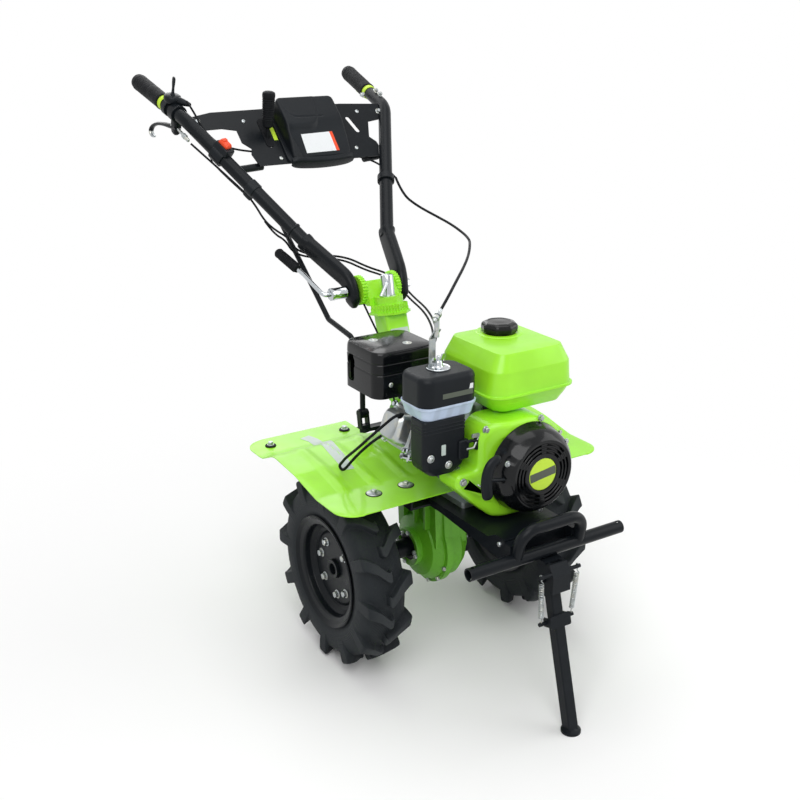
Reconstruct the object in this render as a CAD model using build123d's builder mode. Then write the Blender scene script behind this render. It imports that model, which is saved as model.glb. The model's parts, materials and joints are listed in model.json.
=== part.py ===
"""Walk-behind power tiller: two lugged wheels, a front stand, a small petrol engine
on a gearbox, and adjustable handlebars on a leaning column.

The frame: +Z up, the operator stands at +Y and the engine is at -Y, so +X is the
operator's left. Z is 0 on the ground. A place is given as x, the distance back from
the wheel axle and the rise above the wheel axle.
"""
import os
from math import atan2, cos, degrees, radians, sin, sqrt, tan

from build123d import *

os.makedirs("parts", exist_ok=True)

# Running gear
axle_y = -175.0
tyre_r = 207.0
tyre_w = 108.0
half_track = 231.0
carcass_r = 191.0
tyre_wall = 9.0
lug_count = 12
lug_width = 22.0
lug_reach = 30.0
lug_overhang = 3.0
bead_r = 105.0
rim_lip_r = 124.0
rim_sheet = 3.0
disc_r = 84.0
disc_out = 18.0
hub_r = 21.0
hub_bore_r = 13.0
hub_bore_depth = 70.0
hub_flange_r = 66.0
hub_flange = 6.0
hub_out = 9.0
shaft_r = 14.0
shaft_seat = 22.0

# Clearances
running_gap = 0.05
face_gap = 0.3

# Gearbox
lobe_r = 84.0
boss_r = 43.0
boss_x = 61.0
lobe_half = 44.0
split_x = -12.0
split_flange = 8.0
flange_lip = 8.0
neck_half = 40.0
neck_front = -70.0
neck_back = 84.0
neck_top = 300.0
bell_r = 78.0
bell_depth = 46.0

# Engine
crank_x = 35.0
crank_up = 278.0
mount_up = 172.0
plate_thick = 6.0
engine_back = -74.0
fan_front = -284.0
case_r = 86.0
foot_thick = 12.0
head_tilt = 20.0
barrel_out = 165.0
head_out = 205.0
valve_out = 240.0
barrel_high = 92.0
barrel_deep = 96.0
barrel_mid = -124.0
recoil_r = 94.0
recoil_deep = 50.0
shroud_deep = 86.0
shroud_sheet = 2.5

carb_low = 284.0
carb_wide = 100.0
carb_x = -130.0

# Chassis and bumper
rail_x = 88.0
rail_sheet = 4.0
rail_front = -373.0
bumper_half = 188.0
bumper_r = 13.0
bumper_wall = 2.5
bumper_front = -398.0
bumper_up = 151.0
loop_half = 76.0
loop_r = 12.0
loop_up = 214.0

# Front stand
stand_back = -412.0
stand_up = 96.0
stand_pin_r = 5.0
leg_size = 24.0
leg_wall = 2.5
foot_back = -496.0
foot_r = 20.0
foot_plate = 5.0
ear_gap = 0.5
ear_sheet = 4.0

# Fenders
fender_in = 65.0
fender_out = 330.0
fender_front = -185.0
fender_rear = 272.0
fender_sheet = 2.0
fender_low = 211.0
fender_crest = 237.0
fender_corner = 45.0
rib_high = 4.0
rib_wide = 22.0

# Column and head
column_size = 56.0
column_wall = 3.0
column_foot_back = 98.0
column_foot_up = 262.0
column_top_back = 176.0
column_top_up = 490.0
swivel_lean = 10.0
ring_r = 40.0
ring_high = 13.0
ring_teeth = 36
head_high = 26.0
pivot_back = 238.0
pivot_up = 535.0
pivot_disc_r = 31.0
pivot_half = 50.0
lock_r = 13.5
lock_high = 58.0

# Handlebars
bar_r = 16.0
bar_wall = 2.0
arm_wide = 46.0
arm_thick = 24.0
arm_x = 65.0
grip_r = 18.5
grip_long = 128.0
collar_long = 12.0

axle_z = tyre_r


def spot(x, back, rise):
    """Point at x, back behind the wheel axle and rise above it."""
    return Vector(x, axle_y + back, axle_z + rise)


def side_plane(x):
    """Plane across the machine at x: local x runs back, local y up, from the axle."""
    return Plane(origin=spot(x, 0, 0), x_dir=(0, 1, 0), z_dir=(1, 0, 0))


def front_plane(back, x=0.0, rise=0.0):
    """Plane facing forward at back: local x to +X, local y up."""
    return Plane(origin=spot(x, back, rise), x_dir=(1, 0, 0), z_dir=(0, -1, 0))


def floor_plane(rise, x=0.0, back=0.0):
    """Level plane at rise: local x to +X, local y back."""
    return Plane(origin=spot(x, back, rise))


def finish(part, name):
    """Label a finished sub-part and write its file."""
    part.label = name
    export_step(part, f"parts/{name}.step")


# Tyre: a carcass ring with its cavity, then slanted lugs by turns on either side
wheel_axis = Axis(spot(0, 0, 0), (1, 0, 0))
half_w = tyre_w / 2 - lug_overhang
shoulder_r = carcass_r - 13
side_r = (bead_r + carcass_r) / 2
lug_top = sqrt(tyre_r**2 - lug_reach**2)
lug_foot = shoulder_r - 2
lug_phase = degrees(atan2(lug_reach, lug_top))
with BuildPart() as tyre_left:
    with BuildSketch(front_plane(0, half_track)):
        with BuildLine():
            Polyline(
                (-half_w + 14, bead_r),
                (-half_w + 12, bead_r + 14),
                (-half_w, bead_r + 30),
                (-half_w, side_r + 10),
                (-half_w + 5, shoulder_r),
                (0, carcass_r),
                (half_w - 5, shoulder_r),
                (half_w, side_r + 10),
                (half_w, bead_r + 30),
                (half_w - 12, bead_r + 14),
                (half_w - 14, bead_r),
                close=True,
            )
        make_face()
        with BuildLine():
            Polyline(
                (-half_w + 26, bead_r),
                (-half_w + tyre_wall, side_r),
                (-half_w + 14, shoulder_r - tyre_wall),
                (0, carcass_r - tyre_wall),
                (half_w - 14, shoulder_r - tyre_wall),
                (half_w - tyre_wall, side_r),
                (half_w - 26, bead_r),
                close=True,
            )
        make_face(mode=Mode.SUBTRACT)
    revolve(axis=wheel_axis)
    for step in range(2 * lug_count):
        side = 1 if step % 2 else -1
        turn = -90 - lug_phase + step * 180 / lug_count
        out = Vector(0, cos(radians(turn)), sin(radians(turn)))
        lug_plane = Plane(
            origin=spot(half_track, 0, 0) + out * lug_foot,
            x_dir=(1, 0, 0),
            z_dir=out,
        )
        with BuildSketch(lug_plane):
            with BuildLine():
                Polyline(
                    (side * tyre_w / 2, lug_reach - lug_width),
                    (side * tyre_w / 2, lug_reach),
                    (side * tyre_w / 5, lug_reach - lug_width / 2),
                    (-side * 5, lug_width - lug_reach),
                    (-side * 5, -lug_reach),
                    close=True,
                )
            make_face()
        extrude(amount=lug_top - lug_foot)
with BuildPart() as tyre_right:
    mirror(tyre_left.part, about=Plane.YZ)

# Rim: two pressed dishes back to back, whose flat discs meet outboard of the middle
well_r = bead_r - rim_sheet / 2 - face_gap
with BuildPart() as rim_left:
    with BuildSketch(front_plane(0, half_track)):
        for side in (-1, 1):
            with BuildLine():
                Polyline(
                    (side * 50, rim_lip_r - rim_sheet),
                    (side * 43, bead_r + 10),
                    (side * 40, well_r),
                    (disc_out / 2 + side * 16, well_r),
                    (disc_out + side * 7, disc_r),
                    (disc_out + side, disc_r - 6),
                    (disc_out + side, hub_r + 3),
                )
            trace(line_width=rim_sheet)
    revolve(axis=wheel_axis)
    with Locations(side_plane(half_track)):
        Hole(hub_r + running_gap)
with BuildPart() as rim_right:
    mirror(rim_left.part, about=Plane.YZ)

# Hub: the axle tube with its bolting flange and the shaft that enters the gearbox
disc_in = half_track + disc_out - 1 - rim_sheet / 2
hub_inner = boss_x + face_gap
hub_end = half_track + disc_out + hub_out
with BuildPart() as hub_left:
    with BuildSketch(side_plane(hub_inner)):
        Circle(hub_r)
    extrude(amount=hub_end - hub_inner)
    with BuildSketch(side_plane(disc_in)):
        Circle(hub_flange_r)
    extrude(amount=-hub_flange)
    with BuildSketch(side_plane(hub_inner)):
        Circle(shaft_r)
    extrude(amount=-shaft_seat)
    with BuildSketch(side_plane(hub_end)):
        Circle(hub_bore_r)
    extrude(amount=-hub_bore_depth, mode=Mode.SUBTRACT)
with BuildPart() as hub_right:
    mirror(hub_left.part, about=Plane.YZ)

# Gearbox: a lobe round the axle and a ribbed neck up to the clutch bell
with BuildPart() as gearbox_case:
    with BuildSketch(front_plane(0)):
        with BuildLine():
            Polyline(
                (-boss_x, 0),
                (-boss_x, boss_r),
                (-boss_x + 8, boss_r),
                (-lobe_half, lobe_r - 14),
                (-lobe_half + 20, lobe_r),
                (lobe_half - 20, lobe_r),
                (lobe_half, lobe_r - 14),
                (boss_x - 8, boss_r),
                (boss_x, boss_r),
                (boss_x, 0),
                close=True,
            )
        make_face()
    revolve(axis=wheel_axis)
    with BuildSketch(side_plane(-neck_half)):
        with BuildLine():
            Polyline(
                (-lobe_r + 8, 20),
                (neck_front, 120),
                (neck_front, neck_top),
                (neck_back + 34, neck_top),
                (neck_back + 20, 215),
                (neck_back, 120),
                (lobe_r - 8, 20),
                close=True,
            )
        make_face()
    extrude(amount=2 * neck_half)
    fillet(gearbox_case.part.edges().filter_by(Axis.Y).group_by(Axis.Z)[-1], 14)
    with BuildSketch(side_plane(split_x - split_flange)):
        Circle(lobe_r + flange_lip)
        with BuildLine():
            Polyline(
                (-lobe_r, 20),
                (neck_front, 130),
                (neck_front, neck_top - 20),
                (neck_back + 34, neck_top - 20),
                (neck_back + 20 + flange_lip, 215),
                (neck_back + flange_lip, 120),
                (lobe_r, 20),
                close=True,
            )
        make_face()
    extrude(amount=2 * split_flange)
    with BuildSketch(front_plane(engine_back, crank_x, crank_up)):
        Circle(bell_r)
    extrude(amount=-bell_depth)
    for rib_back in (-46, -4, 40):
        for side in (-1, 1):
            with BuildSketch(floor_plane(lobe_r - 26)):
                with Locations((side * neck_half, rib_back)):
                    Rectangle(24, 7)
            extrude(amount=neck_top - lobe_r)
    with BuildSketch(side_plane(-boss_x)):
        Circle(shaft_r + running_gap)
    extrude(amount=shaft_seat + 2, mode=Mode.SUBTRACT)
    with BuildSketch(side_plane(boss_x)):
        Circle(shaft_r + running_gap)
    extrude(amount=-shaft_seat - 2, mode=Mode.SUBTRACT)
split_face = Plane.YZ.offset(split_x)
with BuildPart() as gearbox_left:
    add(gearbox_case.part)
    split(bisect_by=split_face, keep=Keep.TOP)
with BuildPart() as gearbox_right:
    add(gearbox_case.part)
    split(bisect_by=split_face, keep=Keep.BOTTOM)

# Hitch: a forked bracket on the back of the neck, with an upright pin bore
hitch_half = 30.0
hitch_low = 58.0
hitch_high = 132.0
hitch_ear = 12.0
hitch_pin_back = 168.0
hitch_pin_r = 8.0
with BuildPart() as hitch:
    with BuildSketch(side_plane(-hitch_half)):
        with BuildLine():
            Polyline(
                (60, hitch_low),
                (hitch_pin_back + 22, hitch_low),
                (hitch_pin_back + 22, hitch_low + hitch_ear),
                (120, hitch_low + hitch_ear),
                (120, hitch_high - hitch_ear),
                (hitch_pin_back + 22, hitch_high - hitch_ear),
                (hitch_pin_back + 22, hitch_high),
                (60, hitch_high),
                close=True,
            )
        make_face()
    extrude(amount=2 * hitch_half)
    with BuildSketch(floor_plane(hitch_low, 0, hitch_pin_back)):
        Circle(hitch_pin_r)
    extrude(amount=hitch_high - hitch_low, mode=Mode.SUBTRACT)
    add(gearbox_case.part, mode=Mode.SUBTRACT)

# Chassis: the engine plate on two side rails, closed by a front plate
with BuildPart() as chassis:
    with BuildSketch(floor_plane(mount_up)):
        with Locations((0, (neck_front + rail_front) / 2)):
            Rectangle(2 * rail_x, neck_front - rail_front)
    extrude(amount=-plate_thick)
    for side in (-1, 1):
        with BuildSketch(side_plane(side * rail_x)):
            with BuildLine():
                Polyline(
                    (rail_front, mount_up - 33),
                    (rail_front, mount_up + 13),
                    (rail_front + 28, mount_up + 13),
                    (rail_front + 50, mount_up),
                    (neck_front, mount_up),
                    (neck_front, mount_up - 16),
                    (neck_front - 90, mount_up - 16),
                    close=True,
                )
            make_face()
        extrude(amount=-side * rail_sheet)
    with BuildSketch(front_plane(rail_front, 0, mount_up - 10)):
        Rectangle(2 * rail_x, 46)
    extrude(amount=rail_sheet)

# Bumper: a cross tube with hole ends, clamp blocks and a loop handle
block_back = rail_front - rail_sheet
with BuildPart() as bumper:
    with BuildSketch(side_plane(-bumper_half)):
        with Locations((bumper_front, bumper_up)):
            Circle(bumper_r)
    extrude(amount=2 * bumper_half)
    for side in (-1, 1):
        with BuildSketch(front_plane(block_back, side * loop_half, mount_up - 10)):
            Rectangle(30, 40)
        extrude(amount=-(bumper_front - block_back))
    with BuildLine() as loop_path:
        FilletPolyline(
            spot(-loop_half, bumper_front, bumper_up),
            spot(-loop_half, bumper_front - 14, loop_up),
            spot(loop_half, bumper_front - 14, loop_up),
            spot(loop_half, bumper_front, bumper_up),
            radius=34,
        )
    with BuildSketch(Plane(origin=loop_path.line @ 0, z_dir=loop_path.line % 0)):
        Circle(loop_r)
    sweep()
    with BuildSketch(side_plane(-bumper_half)):
        with Locations((bumper_front, bumper_up)):
            Circle(bumper_r - bumper_wall)
    extrude(amount=2 * bumper_half, mode=Mode.SUBTRACT)
    with Locations(
        floor_plane(bumper_up, -bumper_half + 9, bumper_front),
        floor_plane(bumper_up, bumper_half - 9, bumper_front),
    ):
        Hole(3.5)

# Stand bracket: a channel under the cross tube, open to the rear, with a spring rod
leg_half = leg_size / 2
ear_in = leg_half + ear_gap
spring_r = 5.5
spring_rod_r = 4.0
spring_rod_half = 50.0
spring_rod_back = stand_back - 26
spring_rod_up = stand_up + 25
channel_half = 22.0
channel_front = stand_back - 34
channel_low = stand_up - 16
tube_under = bumper_up - bumper_r - face_gap
with BuildPart() as stand_bracket:
    for side in (-1, 1):
        with BuildSketch(side_plane(side * ear_in)):
            with BuildLine():
                Polyline(
                    (channel_front + 14, tube_under),
                    (bumper_front + 14, tube_under),
                    (stand_back + 14, stand_up - 12),
                    (stand_back - 10, channel_low),
                    (channel_front, channel_low),
                    (channel_front, stand_up + 20),
                    close=True,
                )
            make_face()
        extrude(amount=side * ear_sheet)
    with BuildSketch(side_plane(-channel_half)):
        with BuildLine():
            Polyline(
                (channel_front + 14, tube_under),
                (channel_front, stand_up + 20),
                (channel_front, channel_low),
                (channel_front + ear_sheet, channel_low),
                (channel_front + ear_sheet, stand_up + 19),
                (channel_front + 14 + ear_sheet, tube_under),
                close=True,
            )
        make_face()
    extrude(amount=2 * channel_half)
    with BuildSketch(floor_plane(tube_under, 0, bumper_front - 4)):
        Rectangle(2 * channel_half, 36)
    extrude(amount=-ear_sheet)
    with BuildSketch(side_plane(-spring_rod_half)):
        with Locations((spring_rod_back, spring_rod_up)):
            Circle(spring_rod_r)
    extrude(amount=2 * spring_rod_half)
    with BuildSketch(side_plane(-ear_in - ear_sheet)):
        with Locations((stand_back, stand_up)):
            Circle(stand_pin_r + running_gap)
    extrude(amount=2 * (ear_in + ear_sheet), mode=Mode.SUBTRACT)

# Stand leg: a square tube on its pin, with a lugged spring rod and a foot disc
leg_lean = atan2(stand_back - foot_back, stand_up + axle_z)
leg_dir = Vector(0, -sin(leg_lean), -cos(leg_lean))
leg_front = Vector(0, -cos(leg_lean), sin(leg_lean))
leg_top = spot(0, stand_back, stand_up)
leg_long = (stand_up + axle_z) / cos(leg_lean)
leg_plane = Plane(origin=leg_top - leg_dir * leg_half, x_dir=(1, 0, 0), z_dir=leg_dir)
lug_drop = 84.0
lug_half = 25.0
lug_high = 26.0
lug_sheet = 3.0
spring_foot = leg_top + leg_dir * lug_drop
lug_plate = Plane(origin=spring_foot, x_dir=(1, 0, 0), z_dir=leg_front)
with BuildPart() as stand_leg:
    with BuildSketch(leg_plane):
        RectangleRounded(leg_size, leg_size, 3)
    extrude(amount=leg_long + leg_half)
    split(bisect_by=Plane.XY.offset(foot_plate), keep=Keep.TOP)
    with BuildSketch(leg_plane.offset(leg_size)):
        Rectangle(leg_size - 2 * leg_wall, leg_size - 2 * leg_wall)
    extrude(amount=leg_long - leg_size - foot_plate, mode=Mode.SUBTRACT)
    with BuildSketch(Plane(origin=(0, axle_y + foot_back, 0))):
        Circle(foot_r)
    extrude(amount=foot_plate)
    with BuildSketch(lug_plate.offset(leg_half)):
        RectangleRounded(2 * lug_half, lug_high, 4)
    extrude(amount=lug_sheet)
    with BuildSketch(lug_plate.offset(-2 * spring_rod_r)):
        with GridLocations(2 * lug_half - lug_sheet, 0, 2, 1):
            Rectangle(lug_sheet, lug_high - 8)
    extrude(amount=leg_half + 2 * spring_rod_r + lug_sheet)
    with BuildSketch(side_plane(-42)):
        with Locations((spring_foot.Y - axle_y, spring_foot.Z - axle_z)):
            Circle(spring_rod_r)
    extrude(amount=84)
    with BuildSketch(side_plane(-ear_in - ear_sheet - 3)):
        with Locations((stand_back, stand_up)):
            Circle(stand_pin_r)
    extrude(amount=2 * (ear_in + ear_sheet + 3))

# Stand springs: grooved bodies between the two rods
with BuildPart() as stand_springs:
    for side in (-1, 1):
        upper = spot(side * 45, spring_rod_back, spring_rod_up - spring_rod_r - face_gap)
        lower = Vector(side * 37, spring_foot.Y, spring_foot.Z + spring_rod_r + face_gap)
        span = (upper - lower).length
        coil_plane = Plane(origin=lower, z_dir=upper - lower)
        with BuildSketch(coil_plane):
            Circle(2)
        extrude(amount=span)
        with BuildSketch(coil_plane.offset(12)):
            Circle(spring_r)
        extrude(amount=span - 24)

# Fenders: a pressed sheet with a flat front, a crest over the wheel and a rear flange
fender_line = [
    (fender_front, fender_low),
    (-72, fender_low),
    (20, fender_crest - 8),
    (118, fender_crest),
    (172, fender_low + 2),
    (190, fender_low),
    (fender_rear, fender_low),
]
with BuildPart() as fender_right:
    with BuildSketch(side_plane(-fender_out)):
        with BuildLine():
            FilletPolyline(*fender_line, radius=[60, 120, 60, 14, 14])
            offset(amount=fender_sheet, side=Side.LEFT)
        make_face()
    extrude(amount=fender_out - fender_in)
    for rib_x in (120, 190, 262):
        with BuildSketch(side_plane(-rib_x - rib_wide / 2)):
            with BuildLine():
                FilletPolyline(*fender_line[:5], radius=[60, 120, 60])
                offset(amount=fender_sheet + rib_high, side=Side.LEFT)
            make_face()
        extrude(amount=rib_wide)
    with BuildSketch(floor_plane(0)) as fender_plan:
        with Locations((-(fender_in + fender_out) / 2, (fender_front + fender_rear) / 2)):
            Rectangle(fender_out - fender_in, fender_rear - fender_front)
        fillet(fender_plan.vertices().group_by(Axis.X)[0], fender_corner)
    extrude(amount=400, mode=Mode.INTERSECT)
notch_gap = 8.0
with BuildPart() as fender_left:
    mirror(fender_right.part, about=Plane.YZ)
    with BuildSketch(floor_plane(0)):
        with BuildLine():
            Polyline(
                (0, fender_front - 1),
                (crank_x + case_r + notch_gap, fender_front - 1),
                (crank_x + case_r + notch_gap, engine_back + notch_gap),
                (crank_x + bell_r - 30, engine_back + bell_depth + notch_gap),
                (0, engine_back + bell_depth + notch_gap),
                close=True,
            )
        make_face()
    extrude(amount=400, mode=Mode.SUBTRACT)

# Fender carriers: two front arms on the rails and a rear bar with its struts
arm_back = -111.0
arm_step = 138.0
arm_reach = 236.0
bar_back = 214.0
carrier_up = fender_low - face_gap
carrier_thick = 5.0
with BuildPart() as fender_carriers:
    for side in (-1, 1):
        with BuildSketch(front_plane(arm_back)):
            with BuildLine():
                Polyline(
                    (side * (rail_x + face_gap), mount_up - 14),
                    (side * arm_step, mount_up - 14),
                    (side * arm_step, carrier_up - carrier_thick),
                    (side * arm_reach, carrier_up - carrier_thick),
                    (side * arm_reach, carrier_up),
                    (side * (arm_step - carrier_thick), carrier_up),
                    (side * (arm_step - carrier_thick), mount_up - 14 + carrier_thick),
                    (side * (rail_x + face_gap), mount_up - 14 + carrier_thick),
                    close=True,
                )
            make_face()
        extrude(amount=14, both=True)
    with BuildSketch(floor_plane(carrier_up)):
        with Locations((0, bar_back)):
            Rectangle(2 * fender_out - 40, 28)
    extrude(amount=-carrier_thick)
    with BuildSketch(floor_plane(carrier_up)):
        with Locations((0, (bar_back + neck_back + 20 + flange_lip + face_gap) / 2)):
            Rectangle(60, bar_back - neck_back - 20 - flange_lip - face_gap)
    extrude(amount=-carrier_thick)

# Engine: crankcase on its feet, inclined barrel with fins
tilt = radians(head_tilt)
barrel_dir = Vector(-cos(tilt), 0, sin(tilt))
fan_back = fan_front + shroud_deep


def barrel_plane(reach, back=barrel_mid):
    """Plane square to the barrel at reach from the crank: local x back, y upward."""
    return Plane(
        origin=spot(crank_x, back, crank_up) + barrel_dir * reach,
        x_dir=(0, 1, 0),
        z_dir=barrel_dir,
    )


with BuildPart() as engine_block:
    with BuildSketch(front_plane(engine_back, crank_x, crank_up)):
        Circle(case_r - shroud_sheet - face_gap)
        with Locations((0, (mount_up - crank_up) / 2)):
            Rectangle(2 * case_r - 26, crank_up - mount_up)
    extrude(amount=engine_back - fan_back - face_gap)
    with BuildSketch(front_plane(fan_back + 2, crank_x, crank_up)):
        Circle(recoil_r - 16)
    extrude(amount=shroud_deep - 28)
    with BuildSketch(floor_plane(mount_up)):
        with Locations((crank_x - 6, (engine_back + fan_back) / 2 - 10)):
            RectangleRounded(2 * case_r + 4, 104, 8)
    extrude(amount=foot_thick)
    with BuildSketch(barrel_plane(40)):
        Rectangle(barrel_deep - 22, barrel_high - 22)
    extrude(amount=barrel_out - 40)
    for fin in range(7):
        with BuildSketch(barrel_plane(92 + fin * 11)):
            RectangleRounded(barrel_deep, barrel_high, 14)
        extrude(amount=4)
with BuildPart() as cylinder_head:
    with BuildSketch(barrel_plane(barrel_out)):
        RectangleRounded(barrel_deep, barrel_high, 12)
    extrude(amount=head_out - barrel_out - 8)
    with BuildSketch(barrel_plane(head_out - 8)):
        RectangleRounded(barrel_deep - 6, barrel_high - 6, 16)
    extrude(amount=8)
with BuildPart() as valve_cover:
    with BuildSketch(barrel_plane(head_out)):
        RectangleRounded(barrel_deep - 12, barrel_high - 12, 14)
        with GridLocations(barrel_deep - 22, barrel_high - 22, 2, 2):
            Circle(9)
    extrude(amount=5)
    with BuildSketch(barrel_plane(head_out + 5)):
        RectangleRounded(barrel_deep - 26, barrel_high - 26, 12)
    extrude(amount=valve_out - head_out - 5)
    fillet(valve_cover.faces().sort_by(Axis.X)[0].edges(), 7)

# Fan shroud: a pressed green cowl round the fan, drawn out over the barrel
shroud_round = 12.0
with BuildPart() as fan_cowl:
    with BuildSketch(front_plane(fan_back)) as cowl:
        with BuildLine():
            Polyline(
                (-39, mount_up + 15),
                (-118, crank_up - 24),
                (-118, carb_low - 4),
                (carb_x + carb_wide / 2 + 14, carb_low - 4),
                (carb_x + carb_wide / 2 + 14, crank_up + 82),
                (crank_x, crank_up + 98),
                (crank_x + 98, crank_up),
                (crank_x + 60, mount_up + 6),
                (crank_x, mount_up + 4),
                close=True,
            )
        make_face()
        with Locations((crank_x, crank_up)):
            Circle(recoil_r + 8)
        with Locations((0, 0)):
            with BuildLine():
                Polyline(
                    (-200, mount_up + 4),
                    (300, mount_up + 4),
                    (300, mount_up - 60),
                    (-200, mount_up - 60),
                    close=True,
                )
            make_face(mode=Mode.SUBTRACT)
    extrude(amount=shroud_deep)
    fillet(fan_cowl.faces().sort_by(Axis.Y)[0].edges(), shroud_round)
with BuildPart() as shroud_room:
    with BuildSketch(front_plane(fan_back)):
        add(cowl.sketch_local)
        offset(amount=-shroud_sheet, mode=Mode.REPLACE)
    extrude(amount=shroud_deep - shroud_sheet)
    fillet(shroud_room.faces().sort_by(Axis.Y)[0].edges(), shroud_round - shroud_sheet)
with BuildPart() as fan_shroud:
    add(fan_cowl.part)
    add(shroud_room.part, mode=Mode.SUBTRACT)
    with BuildSketch(front_plane(fan_front, crank_x, crank_up)):
        Circle(recoil_r - 14)
    extrude(amount=-shroud_sheet * 3, mode=Mode.SUBTRACT)

# Recoil starter: a stepped round cover with vents and its pull handle
recoil_step = 22.0
recoil_draft = 5.0
recoil_wall = 3.0
sticker_r = 34.0
recoil_face = fan_front - recoil_deep
recoil_side_r = recoil_r - recoil_draft
recoil_face_r = recoil_r - recoil_step
with BuildPart() as recoil_cover:
    with BuildSketch(side_plane(crank_x)):
        with BuildLine():
            Polyline(
                (fan_front - face_gap, crank_up + recoil_r),
                (recoil_face + recoil_step, crank_up + recoil_side_r),
                (recoil_face, crank_up + recoil_face_r),
                (recoil_face, crank_up + sticker_r + 2),
                (recoil_face + 2, crank_up + sticker_r),
                (recoil_face + 2, crank_up),
                (recoil_face + 5, crank_up),
                (recoil_face + 5, crank_up + sticker_r),
                (recoil_face + recoil_wall, crank_up + sticker_r + 3),
                (recoil_face + recoil_wall, crank_up + recoil_face_r - 2),
                (recoil_face + recoil_step + 2, crank_up + recoil_side_r - recoil_wall),
                (fan_front - face_gap, crank_up + recoil_r - recoil_wall),
                close=True,
            )
        make_face()
    revolve(axis=Axis(spot(crank_x, 0, crank_up), (0, 1, 0)))
    with BuildSketch(front_plane(recoil_face + 8, crank_x, crank_up)):
        with PolarLocations(0, 6):
            for reach in (46, 54, 62):
                with BuildLine():
                    CenterArc((0, 0), reach, -20, 40)
                    offset(amount=2, side=Side.BOTH)
                make_face()
    extrude(amount=12, mode=Mode.SUBTRACT)
grip_x = -72.0
grip_thick = 18.0
rope_back = recoil_face + 13
rope_r_there = recoil_face_r + (recoil_side_r - recoil_face_r) * 13 / recoil_step
with BuildPart() as starter_grip:
    with BuildSketch(front_plane(rope_back + grip_thick / 2, grip_x, crank_up - 4)):
        SlotCenterToCenter(74, 22, rotation=78)
    extrude(amount=grip_thick)
    fillet(starter_grip.edges().filter_by(GeomType.LINE, reverse=True), 5)
    with BuildSketch(side_plane(grip_x + 6)):
        with Locations((rope_back, crank_up)):
            Circle(4)
    extrude(amount=crank_x - rope_r_there - grip_x - 6)
    add(recoil_cover.part, mode=Mode.SUBTRACT)

# Fuel tank: two pressed halves on a seam flange, with a screwed cap
tank_x = 71.5
tank_back = -157.5
tank_wide = 215.0
tank_long = 215.0
seam_up = 423.0
bevel_up = 470.0
tank_top = 505.0
tank_low = 386.0
with BuildPart() as fuel_tank:
    with BuildSketch(floor_plane(seam_up, tank_x, tank_back)):
        RectangleRounded(tank_wide - 10, tank_long - 10, 34)
    with BuildSketch(floor_plane(bevel_up, tank_x, tank_back)):
        RectangleRounded(tank_wide - 18, tank_long - 16, 30)
    loft()
    with BuildSketch(floor_plane(bevel_up, tank_x, tank_back)):
        RectangleRounded(tank_wide - 18, tank_long - 16, 30)
    with BuildSketch(floor_plane(tank_top, tank_x, tank_back)):
        RectangleRounded(tank_wide - 56, tank_long - 40, 20)
    loft()
    fillet(fuel_tank.faces().sort_by(Axis.Z)[-1].edges(), 5)
    with BuildSketch(floor_plane(seam_up, tank_x, tank_back)):
        RectangleRounded(tank_wide, tank_long, 38)
    extrude(amount=-3)
    with BuildSketch(floor_plane(seam_up - 3, tank_x, tank_back)):
        RectangleRounded(tank_wide - 12, tank_long - 12, 32)
    with BuildSketch(floor_plane(tank_low, tank_x, tank_back)):
        RectangleRounded(tank_wide - 52, tank_long - 40, 26)
    loft()
cap_x = 87.0
cap_back = -112.0
cap_r = 38.0
cap_high = 24.0
with BuildPart() as fuel_cap:
    with BuildSketch(floor_plane(tank_top, cap_x, cap_back)):
        Circle(cap_r - 5)
        with PolarLocations(cap_r - 9, 8):
            Circle(9)
    extrude(amount=cap_high)
    fillet(fuel_cap.faces().sort_by(Axis.Z)[-1].edges(), 3)

# Tank stays: four pads from the crankcase to the tank
with BuildPart() as tank_stays:
    for stay_x in (crank_x - 20, crank_x + 20):
        for stay_back in (-176, -108):
            with BuildSketch(floor_plane(tank_low, stay_x, stay_back)):
                Rectangle(16, 16)
            extrude(amount=-60)
    add(engine_block.part, mode=Mode.SUBTRACT)

# Air cleaner: black cover over a clear bowl, and the carburettor behind its cover
cleaner_x = -126.5
cleaner_back = -203.0
cleaner_wide = 129.0
cleaner_long = 94.0
bowl_low = 401.0
bowl_high = 429.0
cleaner_top = 488.0
with BuildPart() as air_cleaner_cover:
    with BuildSketch(floor_plane(bowl_high, cleaner_x, cleaner_back)):
        RectangleRounded(cleaner_wide, cleaner_long, 26)
    extrude(amount=cleaner_top - bowl_high)
    fillet(air_cleaner_cover.faces().sort_by(Axis.Z)[-1].edges(), 12)
with BuildPart() as air_cleaner_bowl:
    with BuildSketch(floor_plane(bowl_low, cleaner_x, cleaner_back)):
        RectangleRounded(cleaner_wide - 14, cleaner_long - 14, 22)
    with BuildSketch(floor_plane(bowl_high - 6, cleaner_x, cleaner_back)):
        RectangleRounded(cleaner_wide - 4, cleaner_long - 4, 25)
    loft()
    with BuildSketch(floor_plane(bowl_high - 6, cleaner_x, cleaner_back)):
        RectangleRounded(cleaner_wide, cleaner_long, 26)
    extrude(amount=6)
carb_long = 52.0
carb_back = cleaner_back - cleaner_long / 2 + 12 + carb_long / 2 - 8
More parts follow.
